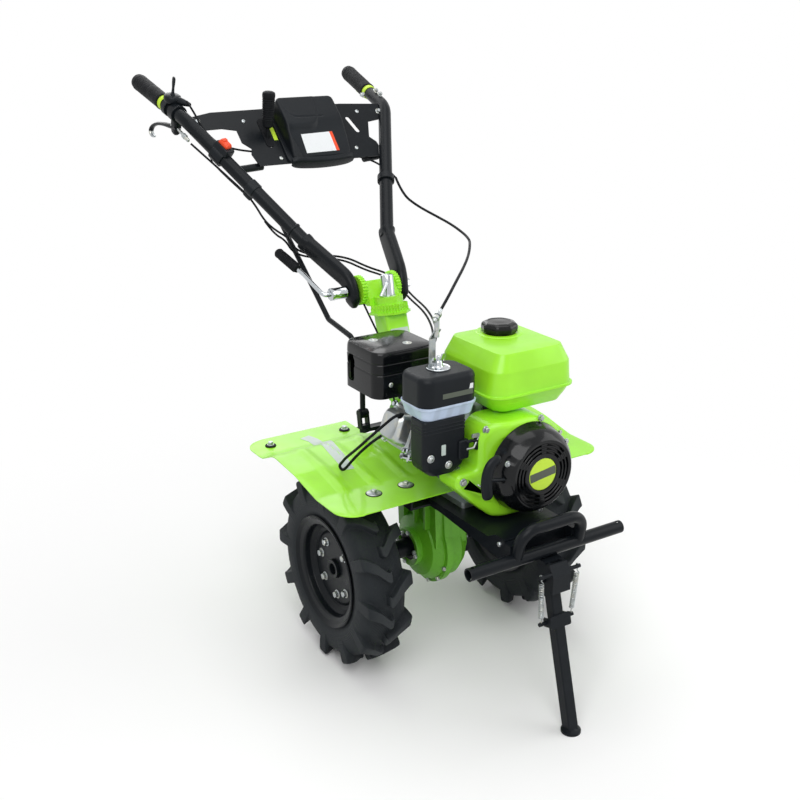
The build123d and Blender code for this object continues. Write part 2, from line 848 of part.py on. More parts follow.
with BuildPart() as carburettor_cover:
    with BuildSketch(front_plane(carb_back + carb_long / 2, carb_x, bowl_low)) as carb_face:
        with BuildLine():
            Polyline(
                (-carb_wide / 2 + 6, 0),
                (-carb_wide / 2, carb_low - bowl_low + 26),
                (-carb_wide / 2 + 22, carb_low - bowl_low + 4),
                (0, carb_low - bowl_low),
                (carb_wide / 2 - 22, carb_low - bowl_low + 4),
                (carb_wide / 2, carb_low - bowl_low + 26),
                (carb_wide / 2 - 6, 0),
                close=True,
            )
        make_face()
        fillet(carb_face.vertices().group_by(Axis.Y)[0], 12)
    extrude(amount=carb_long)
    for groove in range(3):
        with BuildSketch(floor_plane(bowl_low - 12 - groove * 7, carb_x, carb_back)):
            RectangleRounded(carb_wide + 1.5, carb_long, 6)
        extrude(amount=2.5)
carb_rear = carb_back + carb_long / 2
head_face = barrel_mid - barrel_deep / 2
port_x = crank_x + barrel_dir.X * (barrel_out + 16)
with BuildPart() as carburettor:
    with BuildSketch(front_plane(carb_rear, port_x, carb_low + 52)):
        Rectangle(34, 50)
    extrude(amount=-(head_face - carb_rear))
    with BuildSketch(floor_plane(carb_low + 27, port_x, (carb_rear + head_face) / 2)):
        Circle(9)
    extrude(amount=-24)
with BuildPart() as choke_levers:
    for lever_up in (carb_low + 30, carb_low + 50):
        with BuildSketch(side_plane(carb_x + carb_wide / 2 - 8)):
            with Locations((carb_back - 6, lever_up)):
                Rectangle(20, 5)
        extrude(amount=20)
    add(carburettor_cover.part, mode=Mode.SUBTRACT)

# Wing nut, dished washer and the strip that holds the cable ends
nut_spot = (-124.0, -198.0)
strip_up = cleaner_top + 2 * face_gap
with BuildPart() as cleaner_nut:
    with BuildSketch(floor_plane(cleaner_top, *nut_spot)):
        Circle(20)
    with BuildSketch(floor_plane(cleaner_top + 4, *nut_spot)):
        Circle(9)
    loft()
    with BuildSketch(floor_plane(cleaner_top + 4, *nut_spot)):
        Circle(7)
    extrude(amount=12)
    with BuildSketch(front_plane(nut_spot[1] + 2, nut_spot[0], cleaner_top + 12)):
        with Locations((-13, 6), (13, 6)):
            Ellipse(7, 10)
        Rectangle(20, 6)
    extrude(amount=4)
with BuildPart() as cable_strip:
    with BuildSketch(side_plane(nut_spot[0] - 6)):
        with BuildLine():
            Polyline(
                (nut_spot[1] + 24, cleaner_top),
                (nut_spot[1] + 24, cleaner_top + 54),
                (nut_spot[1] + 6, cleaner_top + 76),
                (nut_spot[1] + 3, cleaner_top + 75),
                (nut_spot[1] + 21, cleaner_top + 53),
                (nut_spot[1] + 21, cleaner_top),
                close=True,
            )
        make_face()
    extrude(amount=14)
    with BuildSketch(floor_plane(cleaner_top + 60, nut_spot[0] + 1, nut_spot[1] + 8)):
        Circle(5)
    extrude(amount=40)

# Muffler under its vented guard
guard_x = -122.0
guard_back = -28.5
guard_wide = 144.0
guard_long = 131.0
guard_low = 394.0
guard_high = 488.0
guard_sheet = 2.0
with BuildPart() as muffler_guard:
    with BuildSketch(floor_plane(guard_low, guard_x, guard_back)):
        RectangleRounded(guard_wide, guard_long, 20)
    extrude(amount=guard_high - guard_low)
    fillet(muffler_guard.faces().sort_by(Axis.Z)[-1].edges(), 14)
    with BuildSketch(floor_plane(guard_low, guard_x, guard_back)):
        RectangleRounded(guard_wide - 2 * guard_sheet, guard_long - 2 * guard_sheet, 18)
    extrude(amount=guard_high - guard_low - guard_sheet - 6, mode=Mode.SUBTRACT)
    with BuildSketch(side_plane(guard_x - guard_wide / 2)):
        with Locations((guard_back + 8, guard_low + 46)):
            Circle(19)
    extrude(amount=guard_sheet * 2, mode=Mode.SUBTRACT)
    for row in range(3):
        with BuildSketch(side_plane(guard_x - guard_wide / 2)):
            with Locations((guard_back, guard_low + 72 + row * 7)):
                with GridLocations(11, 0, 8, 1):
                    Rectangle(7, 3)
        extrude(amount=guard_sheet * 2, mode=Mode.SUBTRACT)
head_up = Vector(sin(tilt), 0, cos(tilt))
exhaust_plane = Plane(
    origin=spot(crank_x, guard_back - 44, crank_up) + barrel_dir * (barrel_out + 16) + head_up * (barrel_high / 2),
    z_dir=head_up,
)
with BuildPart() as muffler:
    with BuildSketch(floor_plane(guard_low + 12, guard_x, guard_back)):
        RectangleRounded(guard_wide - 18, guard_long - 18, 20)
    extrude(amount=guard_high - guard_low - guard_sheet - 18 - face_gap)
    with BuildSketch(floor_plane(guard_high - guard_sheet - 6 - face_gap, guard_x, guard_back)):
        with Locations((-36, 0), (36, 0)):
            Circle(9)
    extrude(amount=-6)
    with BuildSketch(exhaust_plane):
        Circle(15)
    extrude(amount=34)

# Column: a square tube leaning back from the gearbox to the swivel plate
column_run = Vector(0, column_top_back - column_foot_back, column_top_up - column_foot_up)
swivel = radians(swivel_lean)
swivel_dir = Vector(0, sin(swivel), cos(swivel))
column_head = spot(0, column_top_back, column_top_up)


def swivel_plane(rise):
    """Plane square to the swivel axis, rise above the column's top plate."""
    return Plane(origin=column_head + swivel_dir * rise, x_dir=(1, 0, 0), z_dir=swivel_dir)


column_plane = Plane(
    origin=spot(0, column_foot_back, column_foot_up),
    x_dir=(1, 0, 0),
    z_dir=column_run,
)
with BuildPart() as column:
    with BuildSketch(column_plane.offset(-60)):
        RectangleRounded(column_size, column_size, 6)
        inner = column_size - 2 * column_wall
        RectangleRounded(inner, inner, 3, mode=Mode.SUBTRACT)
    extrude(amount=column_run.length + 100)
    split(bisect_by=Plane.XY.offset(axle_z + neck_top), keep=Keep.TOP)
    split(bisect_by=swivel_plane(0), keep=Keep.BOTTOM)
    with BuildSketch(floor_plane(neck_top, 0, neck_back - 8)):
        RectangleRounded(2 * neck_half - 4, 84, 8)
    extrude(amount=7)
    with BuildSketch(swivel_plane(0)):
        RegularPolygon(47, 8, rotation=22.5)
    extrude(amount=5)
    with BuildSketch(swivel_plane(5)):
        Circle(ring_r)
        with PolarLocations(ring_r, ring_teeth):
            RegularPolygon(2.4, 3)
    extrude(amount=ring_high - 5)

# Head: the upper ring with the cradle that carries the handlebar pivot
pivot_spot = spot(0, pivot_back, pivot_up)
pivot_bore_r = 6.0
lock_plane = swivel_plane(ring_high + face_gap + head_high)
with BuildPart() as head:
    with BuildSketch(swivel_plane(ring_high + face_gap)):
        Circle(ring_r - 1)
        with PolarLocations(ring_r - 1, ring_teeth):
            RegularPolygon(2.4, 3)
    extrude(amount=ring_high - 4)
    with BuildSketch(swivel_plane(ring_high + face_gap + ring_high - 4)):
        Circle(ring_r - 8)
    extrude(amount=head_high - ring_high + 4)
    with BuildSketch(side_plane(-pivot_half + 10)):
        with BuildLine():
            Polyline(
                (column_top_back + 18, column_top_up + ring_high + 4),
                (column_top_back + 24, column_top_up + ring_high + head_high - 6),
                (pivot_back - 18, pivot_up + 24),
                (pivot_back + 20, pivot_up + 12),
                (pivot_back + 18, pivot_up - 18),
                (column_top_back + 34, column_top_up + ring_high + 1),
                close=True,
            )
        make_face()
    extrude(amount=2 * pivot_half - 20)
    with BuildSketch(side_plane(-pivot_half)):
        with Locations((pivot_back, pivot_up)):
            Circle(pivot_disc_r)
            with PolarLocations(pivot_disc_r, 28):
                RegularPolygon(2.6, 3)
    extrude(amount=12)
    with BuildSketch(side_plane(pivot_half)):
        with Locations((pivot_back, pivot_up)):
            Circle(pivot_disc_r)
            with PolarLocations(pivot_disc_r, 28):
                RegularPolygon(2.6, 3)
    extrude(amount=-12)
    with BuildSketch(side_plane(-pivot_half)):
        with Locations((pivot_back, pivot_up)):
            Circle(pivot_bore_r + running_gap)
    extrude(amount=2 * pivot_half, mode=Mode.SUBTRACT)
with BuildPart() as swivel_lock:
    with BuildSketch(lock_plane):
        Circle(lock_r)
    extrude(amount=lock_high - head_high)
    fillet(swivel_lock.faces().sort_by(Axis.Z)[-1].edges(), 2)


def bar_plane(start, end):
    """Plane at start that faces along the way to end."""
    return Plane(origin=start, z_dir=end - start)


standing = (Align.CENTER, Align.CENTER, Align.MIN)

# Handlebars: a curved arm from the pivot, then a tube bent back to the grip
arm_tip = spot(arm_x - 2, pivot_back - 12, pivot_up - 36)
arm_heel = spot(arm_x + 1, pivot_back + 2, pivot_up + 22)
bar_low = spot(105, 358, 622)
bar_bend = spot(272.7, 638.7, 887.2)
bar_end = spot(295.2, 860.3, 957)
grip_dir = (bar_end - bar_bend).normalized()
with BuildPart() as handlebar_left:
    with BuildLine() as arm_path:
        FilletPolyline(arm_tip, arm_heel, bar_low, bar_low + (bar_bend - bar_low) * 0.2, radius=[50, 120])
    arm_start = Plane(origin=arm_path.line @ 0, x_dir=(1, 0, 0), z_dir=arm_path.line % 0)
    with BuildSketch(arm_start):
        RectangleRounded(arm_thick, arm_wide, 10)
    sweep()
    with BuildLine() as bar_path:
        FilletPolyline(bar_low, bar_bend, bar_end, radius=90)
    with BuildSketch(Plane(origin=bar_path.line @ 0, z_dir=bar_path.line % 0)):
        Circle(bar_r)
    sweep()
    with BuildSketch(Plane(origin=bar_path.line @ 0, z_dir=bar_path.line % 0)):
        Circle(bar_r - bar_wall)
    with BuildLine():
        add(bar_path.line)
    sweep(mode=Mode.SUBTRACT)
    with BuildSketch(side_plane(0)):
        with Locations((pivot_back, pivot_up)):
            Circle(pivot_bore_r + running_gap)
    extrude(amount=2 * arm_x, mode=Mode.SUBTRACT)
with BuildPart() as handlebar_right:
    mirror(handlebar_left.part, about=Plane.YZ)
with BuildPart() as bar_room:
    with BuildLine():
        add(bar_path.line)
    with BuildSketch(Plane(origin=bar_path.line @ 0, z_dir=bar_path.line % 0)):
        Circle(bar_r + face_gap)
    sweep()
    mirror(about=Plane.YZ)


def on_bar(side, share, out=0.0, along=0.0):
    """Plane at a share of the bar's length: z along the bar, x level, y square to both."""
    at = bar_path.line @ share
    way = bar_path.line % share
    at = Vector(side * at.X, at.Y, at.Z)
    way = Vector(side * way.X, way.Y, way.Z)
    level = Vector(0, 0, 1).cross(way).normalized()
    lift = way.cross(level).normalized()
    return Plane(origin=at + lift * out + way * along, x_dir=level, z_dir=way)


with BuildPart() as grips:
    for side in (-1, 1):
        grip_end = Vector(side * bar_end.X, bar_end.Y, bar_end.Z)
        grip_way = Vector(side * grip_dir.X, grip_dir.Y, grip_dir.Z)
        with Locations(bar_plane(grip_end + grip_way * 6, grip_end - grip_way)):
            Cylinder(grip_r, grip_long + 6, align=standing)
        with Locations(bar_plane(grip_end, grip_end - grip_way)):
            Cylinder(bar_r + face_gap, grip_long, align=standing, mode=Mode.SUBTRACT)
with BuildPart() as grip_collars:
    for side in (-1, 1):
        grip_end = Vector(side * bar_end.X, bar_end.Y, bar_end.Z)
        grip_way = Vector(side * grip_dir.X, grip_dir.Y, grip_dir.Z)
        collar_foot = grip_end - grip_way * (grip_long + collar_long)
        with Locations(bar_plane(collar_foot, grip_end)):
            Cylinder(grip_r + 1, collar_long, align=standing)
            Cylinder(bar_r + face_gap, collar_long, align=standing, mode=Mode.SUBTRACT)


# Panel: cross plates between the bars, with the moulded cover and the shift lever
panel_low = spot(0, 541, 788)
panel_rise = Vector(0, 113, 115)
panel_plane = Plane(origin=panel_low, x_dir=(1, 0, 0), z_dir=(0, -panel_rise.Z, panel_rise.Y))
panel_long = panel_rise.length
panel_sheet = 3.0
with BuildPart() as panel:
    with BuildSketch(panel_plane):
        with BuildLine():
            Polyline(
                (-134, -8),
                (-143, 27),
                (-137, 43),
                (-155, 62),
                (-156, 98),
                (-191, 106),
                (-262, 104),
                (-266, 142),
                (-205, 154),
                (148, 158),
                (270, 150),
                (260, 106),
                (206, 98),
                (189, 51),
                (203, 35),
                (208, 8),
                (202, -8),
                close=True,
            )
        make_face()
        with Locations((-86, 84)):
            SlotCenterToCenter(70, 16, rotation=90, mode=Mode.SUBTRACT)
        with Locations((158, 92)):
            SlotCenterToCenter(40, 12, rotation=108, mode=Mode.SUBTRACT)
    extrude(amount=-panel_sheet)
    add(bar_room.part, mode=Mode.SUBTRACT)

# Panel hood: a moulded cover with a long sloping front over a thin base flange
hood_high = 46.0
hood_wide = 170.0
hood_mid = 29.0
hood_low = -10.0
hood_top = 154.0
hood_base = 6.0
hood_plane = Plane(
    origin=panel_plane.from_local_coords((hood_mid - hood_wide / 2, 0, 0)),
    x_dir=panel_rise,
    z_dir=(1, 0, 0),
)
with BuildPart() as panel_hood:
    with BuildSketch(hood_plane):
        with BuildLine():
            Polyline(
                (hood_top, 0),
                (hood_top - 8, hood_high),
                (hood_top - 74, hood_high),
                (hood_low + 12, hood_base + 12),
                (hood_low + 4, 0),
                close=True,
            )
        make_face()
    extrude(amount=hood_wide)
    with BuildSketch(panel_plane) as hood_plan:
        with BuildLine():
            Polyline(
                (hood_mid - hood_wide / 2, hood_top),
                (hood_mid - hood_wide / 2 + 8, hood_low),
                (hood_mid + hood_wide / 2, hood_low),
                (hood_mid + hood_wide / 2 - 8, hood_top),
                close=True,
            )
        make_face()
        fillet(hood_plan.vertices(), 16)
    extrude(amount=hood_high, taper=4, mode=Mode.INTERSECT)
    hood_axis = Axis((0, 0, 0), panel_plane.z_dir)
    fillet(panel_hood.edges().group_by(hood_axis)[-1], 4)
    with BuildSketch(panel_plane):
        with Locations((hood_mid, (hood_low + hood_top) / 2)):
            RectangleRounded(hood_wide + 6, hood_top - hood_low + 8, 18)
    extrude(amount=hood_base)
lever_foot = panel_plane.from_local_coords((-86, 70, 0))
lever_tip = panel_plane.from_local_coords((-84, 138, 86))
lever_dir = (lever_tip - lever_foot).normalized()
with BuildPart() as shift_lever:
    with Locations(bar_plane(lever_foot - lever_dir * 30, lever_tip)):
        Cylinder(5, (lever_tip - lever_foot).length - 10, align=standing)
    with Locations(bar_plane(lever_tip - lever_dir * 84, lever_tip)):
        Cylinder(13, 84, align=standing)
    with BuildSketch(panel_plane.offset(-panel_sheet - face_gap)):
        with Locations((-86, 70)):
            Rectangle(30, 16)
    extrude(amount=-12)

# Controls on the bars: clutch lever, thumb lever, stop switch and cable clamp
clasp_r = bar_r + 5
clasp_bore = bar_r + face_gap
lever_at = on_bar(-1, 0.70)
with BuildPart() as clutch_lever:
    with Locations(lever_at):
        Cylinder(clasp_r, 22)
    with Locations(lever_at.location * Location((0, -clasp_r - 6, 0))):
        Box(16, 20, 20)
    blade_foot = lever_at.from_local_coords((0, -clasp_r - 12, 6))
    blade_tip = blade_foot + (spot(-292, 805, 838) - spot(-274, 655, 866))
    with Locations(bar_plane(blade_foot, blade_tip)):
        Box(12, 8, 152, align=standing)
    with Locations(lever_at):
        Cylinder(clasp_bore, 60, mode=Mode.SUBTRACT)
thumb_at = on_bar(-1, 0.755)
with BuildPart() as thumb_lever:
    with Locations(thumb_at):
        Cylinder(clasp_r, 16)
    with Locations(thumb_at.location * Location((0, clasp_r + 4, 0), (90, 0, 0))):
        Cylinder(15, 16)
        Box(9, 9, 44, align=(Align.CENTER, Align.CENTER, Align.MAX))
    with Locations(thumb_at):
        Cylinder(clasp_bore, 60, mode=Mode.SUBTRACT)
switch_at = on_bar(-1, 0.46)
with BuildPart() as stop_switch:
    with Locations(switch_at):
        Cylinder(clasp_r, 30)
    with Locations(switch_at.location * Location((0, clasp_r + 8, 0))):
        Box(30, 24, 46)
    with Locations(switch_at):
        Cylinder(clasp_bore, 90, mode=Mode.SUBTRACT)
clasp_at = on_bar(1, 0.27)
with BuildPart() as cable_clasp:
    with Locations(clasp_at):
        Cylinder(clasp_r, 14)
        Cylinder(clasp_bore, 30, mode=Mode.SUBTRACT)

# Height clamp: the pivot bolt with its sleeve nut and the bent lever
clamp_face = arm_x + arm_thick / 2 + 3
clamp_grip_start = spot(-138, 352, 572)
clamp_grip_end = spot(-150, 427, 599)
clamp_way = (clamp_grip_end - clamp_grip_start).normalized()
with BuildPart() as clamp_lever:
    with BuildSketch(side_plane(-clamp_face)):
        with Locations((pivot_back, pivot_up)):
            Circle(pivot_bore_r)
    extrude(amount=2 * clamp_face)
    with BuildSketch(side_plane(-clamp_face)):
        with Locations((pivot_back, pivot_up)):
            Circle(14)
    extrude(amount=-34)
    with BuildSketch(side_plane(clamp_face)):
        with Locations((pivot_back, pivot_up)):
            RegularPolygon(11, 6)
    extrude(amount=11)
    with BuildLine() as lever_path:
        FilletPolyline(
            spot(-clamp_face - 30, pivot_back, pivot_up),
            spot(-clamp_face - 54, pivot_back, pivot_up),
            clamp_grip_start - clamp_way * 24,
            clamp_grip_start,
            radius=[16, 30],
        )
    with BuildSketch(Plane(origin=lever_path.line @ 0, z_dir=lever_path.line % 0)):
        Circle(5)
    sweep()
with BuildPart() as clamp_grip:
    with Locations(bar_plane(clamp_grip_start, clamp_grip_end)):
        Cylinder(12, (clamp_grip_end - clamp_grip_start).length, align=standing)

# Shift linkage: a yoke at the gearbox and the bent rod that runs up to the lever
rod_x = -118.0
rod_back = 101.0
rod_up = 298.0
rod_r = 6.0
yoke_pin_r = 4.0
yoke_drop = 34.0
ear_in_rod = 7.3
yoke_spot = spot(rod_x, rod_back, rod_up)


def yoke_plane(rise):
    """Plane square to the yoke's turning axis, rise above its cross pin."""
    return Plane(origin=yoke_spot + swivel_dir * rise, x_dir=(1, 0, 0), z_dir=swivel_dir)


with BuildPart() as shift_arm:
    with BuildSketch(yoke_plane(-yoke_drop)):
        Circle(11)
        with Locations(((-neck_half - rod_x) / 2, 0)):
            Rectangle(-neck_half - rod_x, 16)
        Circle(5 + running_gap, mode=Mode.SUBTRACT)
    extrude(amount=-8)
with BuildPart() as shift_yoke:
    with BuildSketch(yoke_plane(-yoke_drop - 10)):
        Circle(5)
    extrude(amount=12)
    with BuildSketch(yoke_plane(-yoke_drop + face_gap)):
        RectangleRounded(2 * ear_in_rod + 8, 20, 4)
    extrude(amount=8)
    for side in (-1, 1):
        with BuildSketch(side_plane(rod_x + side * ear_in_rod)):
            with Locations((rod_back, rod_up)):
                Circle(9)
        extrude(amount=side * 4)
        with BuildSketch(yoke_plane(-yoke_drop + face_gap)):
            with Locations((side * (ear_in_rod + 2), 0)):
                Rectangle(4, 16)
        extrude(amount=yoke_drop)
    with BuildSketch(side_plane(rod_x - ear_in_rod - 4)):
        with Locations((rod_back, rod_up)):
            Circle(yoke_pin_r)
    extrude(amount=2 * ear_in_rod + 8)
with BuildPart() as shift_rod:
    with BuildLine() as rod_path:
        FilletPolyline(
            spot(rod_x, rod_back, rod_up + 8),
            spot(rod_x, rod_back, rod_up + 60),
            spot(rod_x, rod_back + 44, rod_up + 163),
            spot(rod_x, rod_back + 146, rod_up + 178),
            spot(rod_x + 14, 545, 690),
            radius=[30, 14, 20],
        )
    with BuildSketch(Plane(origin=rod_path.line @ 0, z_dir=rod_path.line % 0)):
        Circle(rod_r)
    sweep()
    with BuildSketch(side_plane(rod_x - ear_in_rod + face_gap)):
        with Locations((rod_back, rod_up)):
            Circle(11)
            Circle(yoke_pin_r + running_gap, mode=Mode.SUBTRACT)
    extrude(amount=2 * (ear_in_rod - face_gap))

# Control cables: each runs free from the bars to a clip at the head, then to its end
cable_r = 3.0


def cable_path(*points):
    """Route of a cable: straight runs joined by arcs as large as the runs allow."""
    radii = []
    for before, corner, after in zip(points, points[1:], points[2:]):
        turn = (corner - before).get_angle(after - corner)
        run = min((corner - before).length, (after - corner).length)
        radii.append(0.45 * run / tan(radians(turn) / 2))
    print("cable radii, mm:", *[round(radius, 1) for radius in radii])
    return FilletPolyline(*points, radius=radii)


cable_exit = clasp_at.from_local_coords((-clasp_r - cable_r - face_gap, 0, 5))
cable_split = spot(214, 208, 645)
throttle_runs = (
    cable_exit,
    spot(196, 432, 700),
    spot(211, 388, 677),
    spot(227, 330, 660),
    spot(229, 262, 649),
    cable_split,
)
throttle_falls = (
    cable_split,
    spot(199, 154, 641),
    spot(150, 84, 640),
    spot(92, 10, 639),
    spot(30, -60, 637),
    spot(-34, -124, 629),
    spot(-88, -170, 610),
    spot(-123, -190, 588.3),
)
with BuildPart() as cables_upper:
    with BuildLine() as upper_route:
        cable_path(*throttle_runs)
    with BuildSketch(Plane(origin=upper_route.line @ 0, z_dir=upper_route.line % 0)):
        Circle(cable_r)
    sweep()
with BuildPart() as cables_lower:
    with BuildLine() as lower_route:
        cable_path(*throttle_falls)
    with BuildSketch(Plane(origin=lower_route.line @ 0, z_dir=lower_route.line % 0)):
        Circle(cable_r)
    sweep()
    add(cable_strip.part, mode=Mode.SUBTRACT)

# Ignition lead: from the head out over the fender in a loop and back to the plug
lead_points = (
    spot(-165, -140, 372),
    spot(-174, -149, 386),
    spot(-190, -149, 388),
    spot(-208, -136, 368),
    spot(-226, -112, 338),
    spot(-238, -80, 304),
    spot(-243, -42, 272),
    spot(-240, -18, 251),
    spot(-239, -6, 240),
    spot(-237, -14, 232),
    spot(-236, -28, 241),
    spot(-231, -50, 268),
    spot(-216, -78, 303),
    spot(-188, -102, 334),
    spot(-156, -120, 352),
)
with BuildPart() as plug_lead:
    with BuildLine() as lead_route:
        cable_path(*lead_points)
    with BuildSketch(Plane(origin=lead_route.line @ 0, z_dir=lead_route.line % 0)):
        Circle(cable_r)
    sweep()
    add(cylinder_head.part, mode=Mode.SUBTRACT)
    add(valve_cover.part, mode=Mode.SUBTRACT)
    add(engine_block.part, mode=Mode.SUBTRACT)

parts = {
    "tyre_left": tyre_left,
    "tyre_right": tyre_right,
    "rim_left": rim_left,
    "rim_right": rim_right,
    "hub_left": hub_left,
    "hub_right": hub_right,
    "gearbox_left": gearbox_left,
    "gearbox_right": gearbox_right,
    "hitch": hitch,
    "chassis": chassis,
    "bumper": bumper,
    "stand_bracket": stand_bracket,
    "stand_leg": stand_leg,
    "stand_springs": stand_springs,
    "fender_left": fender_left,
    "fender_right": fender_right,
    "fender_carriers": fender_carriers,
    "engine_block": engine_block,
    "cylinder_head": cylinder_head,
    "valve_cover": valve_cover,
    "fan_shroud": fan_shroud,
    "recoil_cover": recoil_cover,
    "starter_grip": starter_grip,
    "fuel_tank": fuel_tank,
    "fuel_cap": fuel_cap,
    "tank_stays": tank_stays,
    "air_cleaner_cover": air_cleaner_cover,
    "air_cleaner_bowl": air_cleaner_bowl,
    "carburettor_cover": carburettor_cover,
    "carburettor": carburettor,
    "choke_levers": choke_levers,
    "cleaner_nut": cleaner_nut,
    "cable_strip": cable_strip,
    "muffler_guard": muffler_guard,
    "muffler": muffler,
    "column": column,
    "head": head,
    "swivel_lock": swivel_lock,
    "handlebar_left": handlebar_left,
    "handlebar_right": handlebar_right,
    "grips": grips,
    "grip_collars": grip_collars,
    "panel": panel,
    "panel_hood": panel_hood,
    "shift_lever": shift_lever,
    "clutch_lever": clutch_lever,
    "thumb_lever": thumb_lever,
    "stop_switch": stop_switch,
    "cable_clasp": cable_clasp,
    "cables_upper": cables_upper,
    "cables_lower": cables_lower,
    "plug_lead": plug_lead,
    "clamp_lever": clamp_lever,
    "clamp_grip": clamp_grip,
    "shift_yoke": shift_yoke,
    "shift_rod": shift_rod,
    "shift_arm": shift_arm,
}
for name, piece in parts.items():
    finish(piece.part, name)
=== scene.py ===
"""Looks of a walk-behind power tiller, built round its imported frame.

Sizes are in millimetres and a place is (x, back, rise): x towards the operator's left,
back behind the wheel axle and rise above it. Surfaces are worked out in that measure
and put into the frame, in metres, when their mesh is made.
"""
import json
import logging
import math
from dataclasses import dataclass, field
from enum import Enum
from typing import Callable, Mapping, Optional, Sequence, Union

import bmesh
import bpy
import numpy as np
from mathutils import Matrix, Vector


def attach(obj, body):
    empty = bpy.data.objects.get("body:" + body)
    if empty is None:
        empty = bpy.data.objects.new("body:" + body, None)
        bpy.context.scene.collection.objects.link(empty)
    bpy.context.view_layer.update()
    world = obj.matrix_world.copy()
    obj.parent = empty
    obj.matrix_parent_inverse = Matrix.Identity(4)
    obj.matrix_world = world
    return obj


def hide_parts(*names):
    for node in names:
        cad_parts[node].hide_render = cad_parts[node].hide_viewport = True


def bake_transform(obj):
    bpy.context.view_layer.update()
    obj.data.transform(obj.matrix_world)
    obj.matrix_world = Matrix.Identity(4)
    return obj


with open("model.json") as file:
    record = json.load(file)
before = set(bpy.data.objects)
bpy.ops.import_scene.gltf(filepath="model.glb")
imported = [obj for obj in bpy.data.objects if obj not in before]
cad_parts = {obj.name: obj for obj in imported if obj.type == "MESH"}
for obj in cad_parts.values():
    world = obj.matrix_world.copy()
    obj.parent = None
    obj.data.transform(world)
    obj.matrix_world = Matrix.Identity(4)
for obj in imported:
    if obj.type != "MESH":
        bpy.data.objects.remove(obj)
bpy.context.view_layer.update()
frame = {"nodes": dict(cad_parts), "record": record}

Array = np.ndarray
Number = Union[float, int]
Colour = tuple[float, float, float]

log = logging.getLogger("tiller")

AXLE = np.array([0.0, -175.0, 207.0])
MM = 0.001
TAU = 2 * math.pi
SIDES = ((1, "left"), (-1, "right"))


def vec(*values: float) -> Array:
    """A point or a direction as an array."""
    return np.array(values, float)


def unit(v: Array) -> Array:
    """The direction of v, with length one."""
    return v / np.linalg.norm(v)


def metres(points: Array) -> Array:
    """Points in (x, back, rise), millimetres, as the frame's metres."""
    return (np.asarray(points, float) + AXLE) * MM


def smooth(t: Array, low: float, high: float) -> Array:
    """The ease curve 3s2 - 2s3, where s goes from 0 at low to 1 at high."""
    s = np.clip((np.asarray(t, float) - low) / (high - low), 0, 1)
    return s * s * (3 - 2 * s)


@dataclass(frozen=True)
class Place:
    """A local measure: an origin and three square directions, in (x, back, rise)."""

    origin: Array
    x: Array
    y: Array
    z: Array

    def at(self, points: Array) -> Array:
        """Local points in (x, back, rise): origin plus each part times its direction."""
        return self.origin + np.asarray(points, float) @ np.stack([self.x, self.y, self.z])

    def moved(self, x: float = 0, y: float = 0, z: float = 0) -> "Place":
        """The same directions from another origin."""
        return Place(self.at(vec(x, y, z)), self.x, self.y, self.z)

    def turned(self, degrees: float) -> "Place":
        """The same place turned about its z."""
        c, s = math.cos(math.radians(degrees)), math.sin(math.radians(degrees))
        return Place(self.origin, self.x * c + self.y * s, self.y * c - self.x * s, self.z)


def level(x: float, back: float, rise: float) -> Place:
    """A place whose z points up."""
    return Place(vec(x, back, rise), vec(1, 0, 0), vec(0, 1, 0), vec(0, 0, 1))


def facing(x: float, back: float, rise: float) -> Place:
    """A place whose z points forward, away from the operator."""
    return Place(vec(x, back, rise), vec(1, 0, 0), vec(0, 0, 1), vec(0, -1, 0))


def sideways(x: float, back: float, rise: float, left: bool = True) -> Place:
    """A place whose z points to the operator's left, or else to the right."""
    if left:
        return Place(vec(x, back, rise), vec(0, 1, 0), vec(0, 0, 1), vec(1, 0, 0))
    return Place(vec(x, back, rise), vec(0, -1, 0), vec(0, 0, 1), vec(-1, 0, 0))


def along(start: Array, end: Array, hint: Array = vec(1, 0, 0)) -> Place:
    """A place at start whose z runs towards end, with x as near hint as it can be."""
    z = unit(end - start)
    x = unit(hint - (hint @ z) * z)
    return Place(start, x, np.cross(z, x), z)


def circle(radius: float, count: int, turn: float = 0.0) -> Array:
    """Points of a circle: radius times cosine and sine of evenly spaced angles."""
    t = np.arange(count) * TAU / count + math.radians(turn)
    return np.stack([radius * np.cos(t), radius * np.sin(t)], -1)


def rounded(
    points: Sequence, radii: Union[float, Sequence[float]], steps: int = 6, closed: bool = True
) -> Array:
    """A run of straight lines whose corners are true arcs.

    Each corner is the rational quadratic curve between its two tangent points, with the
    sine of half the inner angle as the weight of the corner: an exact arc.

    Args:
        points: The corners, in two or three dimensions.
        radii: One radius for all, or one for each corner.
        steps: Pieces in each arc.
        closed: Whether the last corner joins the first.

    Returns:
        The points of the rounded line.
    """
    corners = np.asarray(points, float)
    count = len(corners)
    sizes = np.broadcast_to(np.asarray(radii, float), (count,))
    t = np.linspace(0, 1, steps + 1)[:, None]
    out = []
    for i in range(count):
        if not closed and i in (0, count - 1):
            out.append(corners[i : i + 1])
            continue
        before, here, after = corners[i - 1], corners[i], corners[(i + 1) % count]
        u, v = unit(before - here), unit(after - here)
        half = 0.5 * math.acos(float(np.clip(u @ v, -1, 1)))
        if sizes[i] <= 0 or half > 1.565:
            out.append(here[None])
            continue
        room = 0.499 * min(np.linalg.norm(before - here), np.linalg.norm(after - here))
        cut = min(sizes[i] / math.tan(half), room)
        w = math.sin(half)
        a, b = here + u * cut, here + v * cut
        top = (1 - t) ** 2 * a + 2 * w * t * (1 - t) * here + t**2 * b
        out.append(top / ((1 - t) ** 2 + 2 * w * t * (1 - t) + t**2))
    return np.concatenate(out)


def oblong(width: float, height: float, radius: float, steps: int = 5) -> Array:
    """A rectangle about the origin with arcs at its corners."""
    a, b = width / 2, height / 2
    return rounded([(a, -b), (a, b), (-a, b), (-a, -b)], min(radius, a - 0.01, b - 0.01), steps)


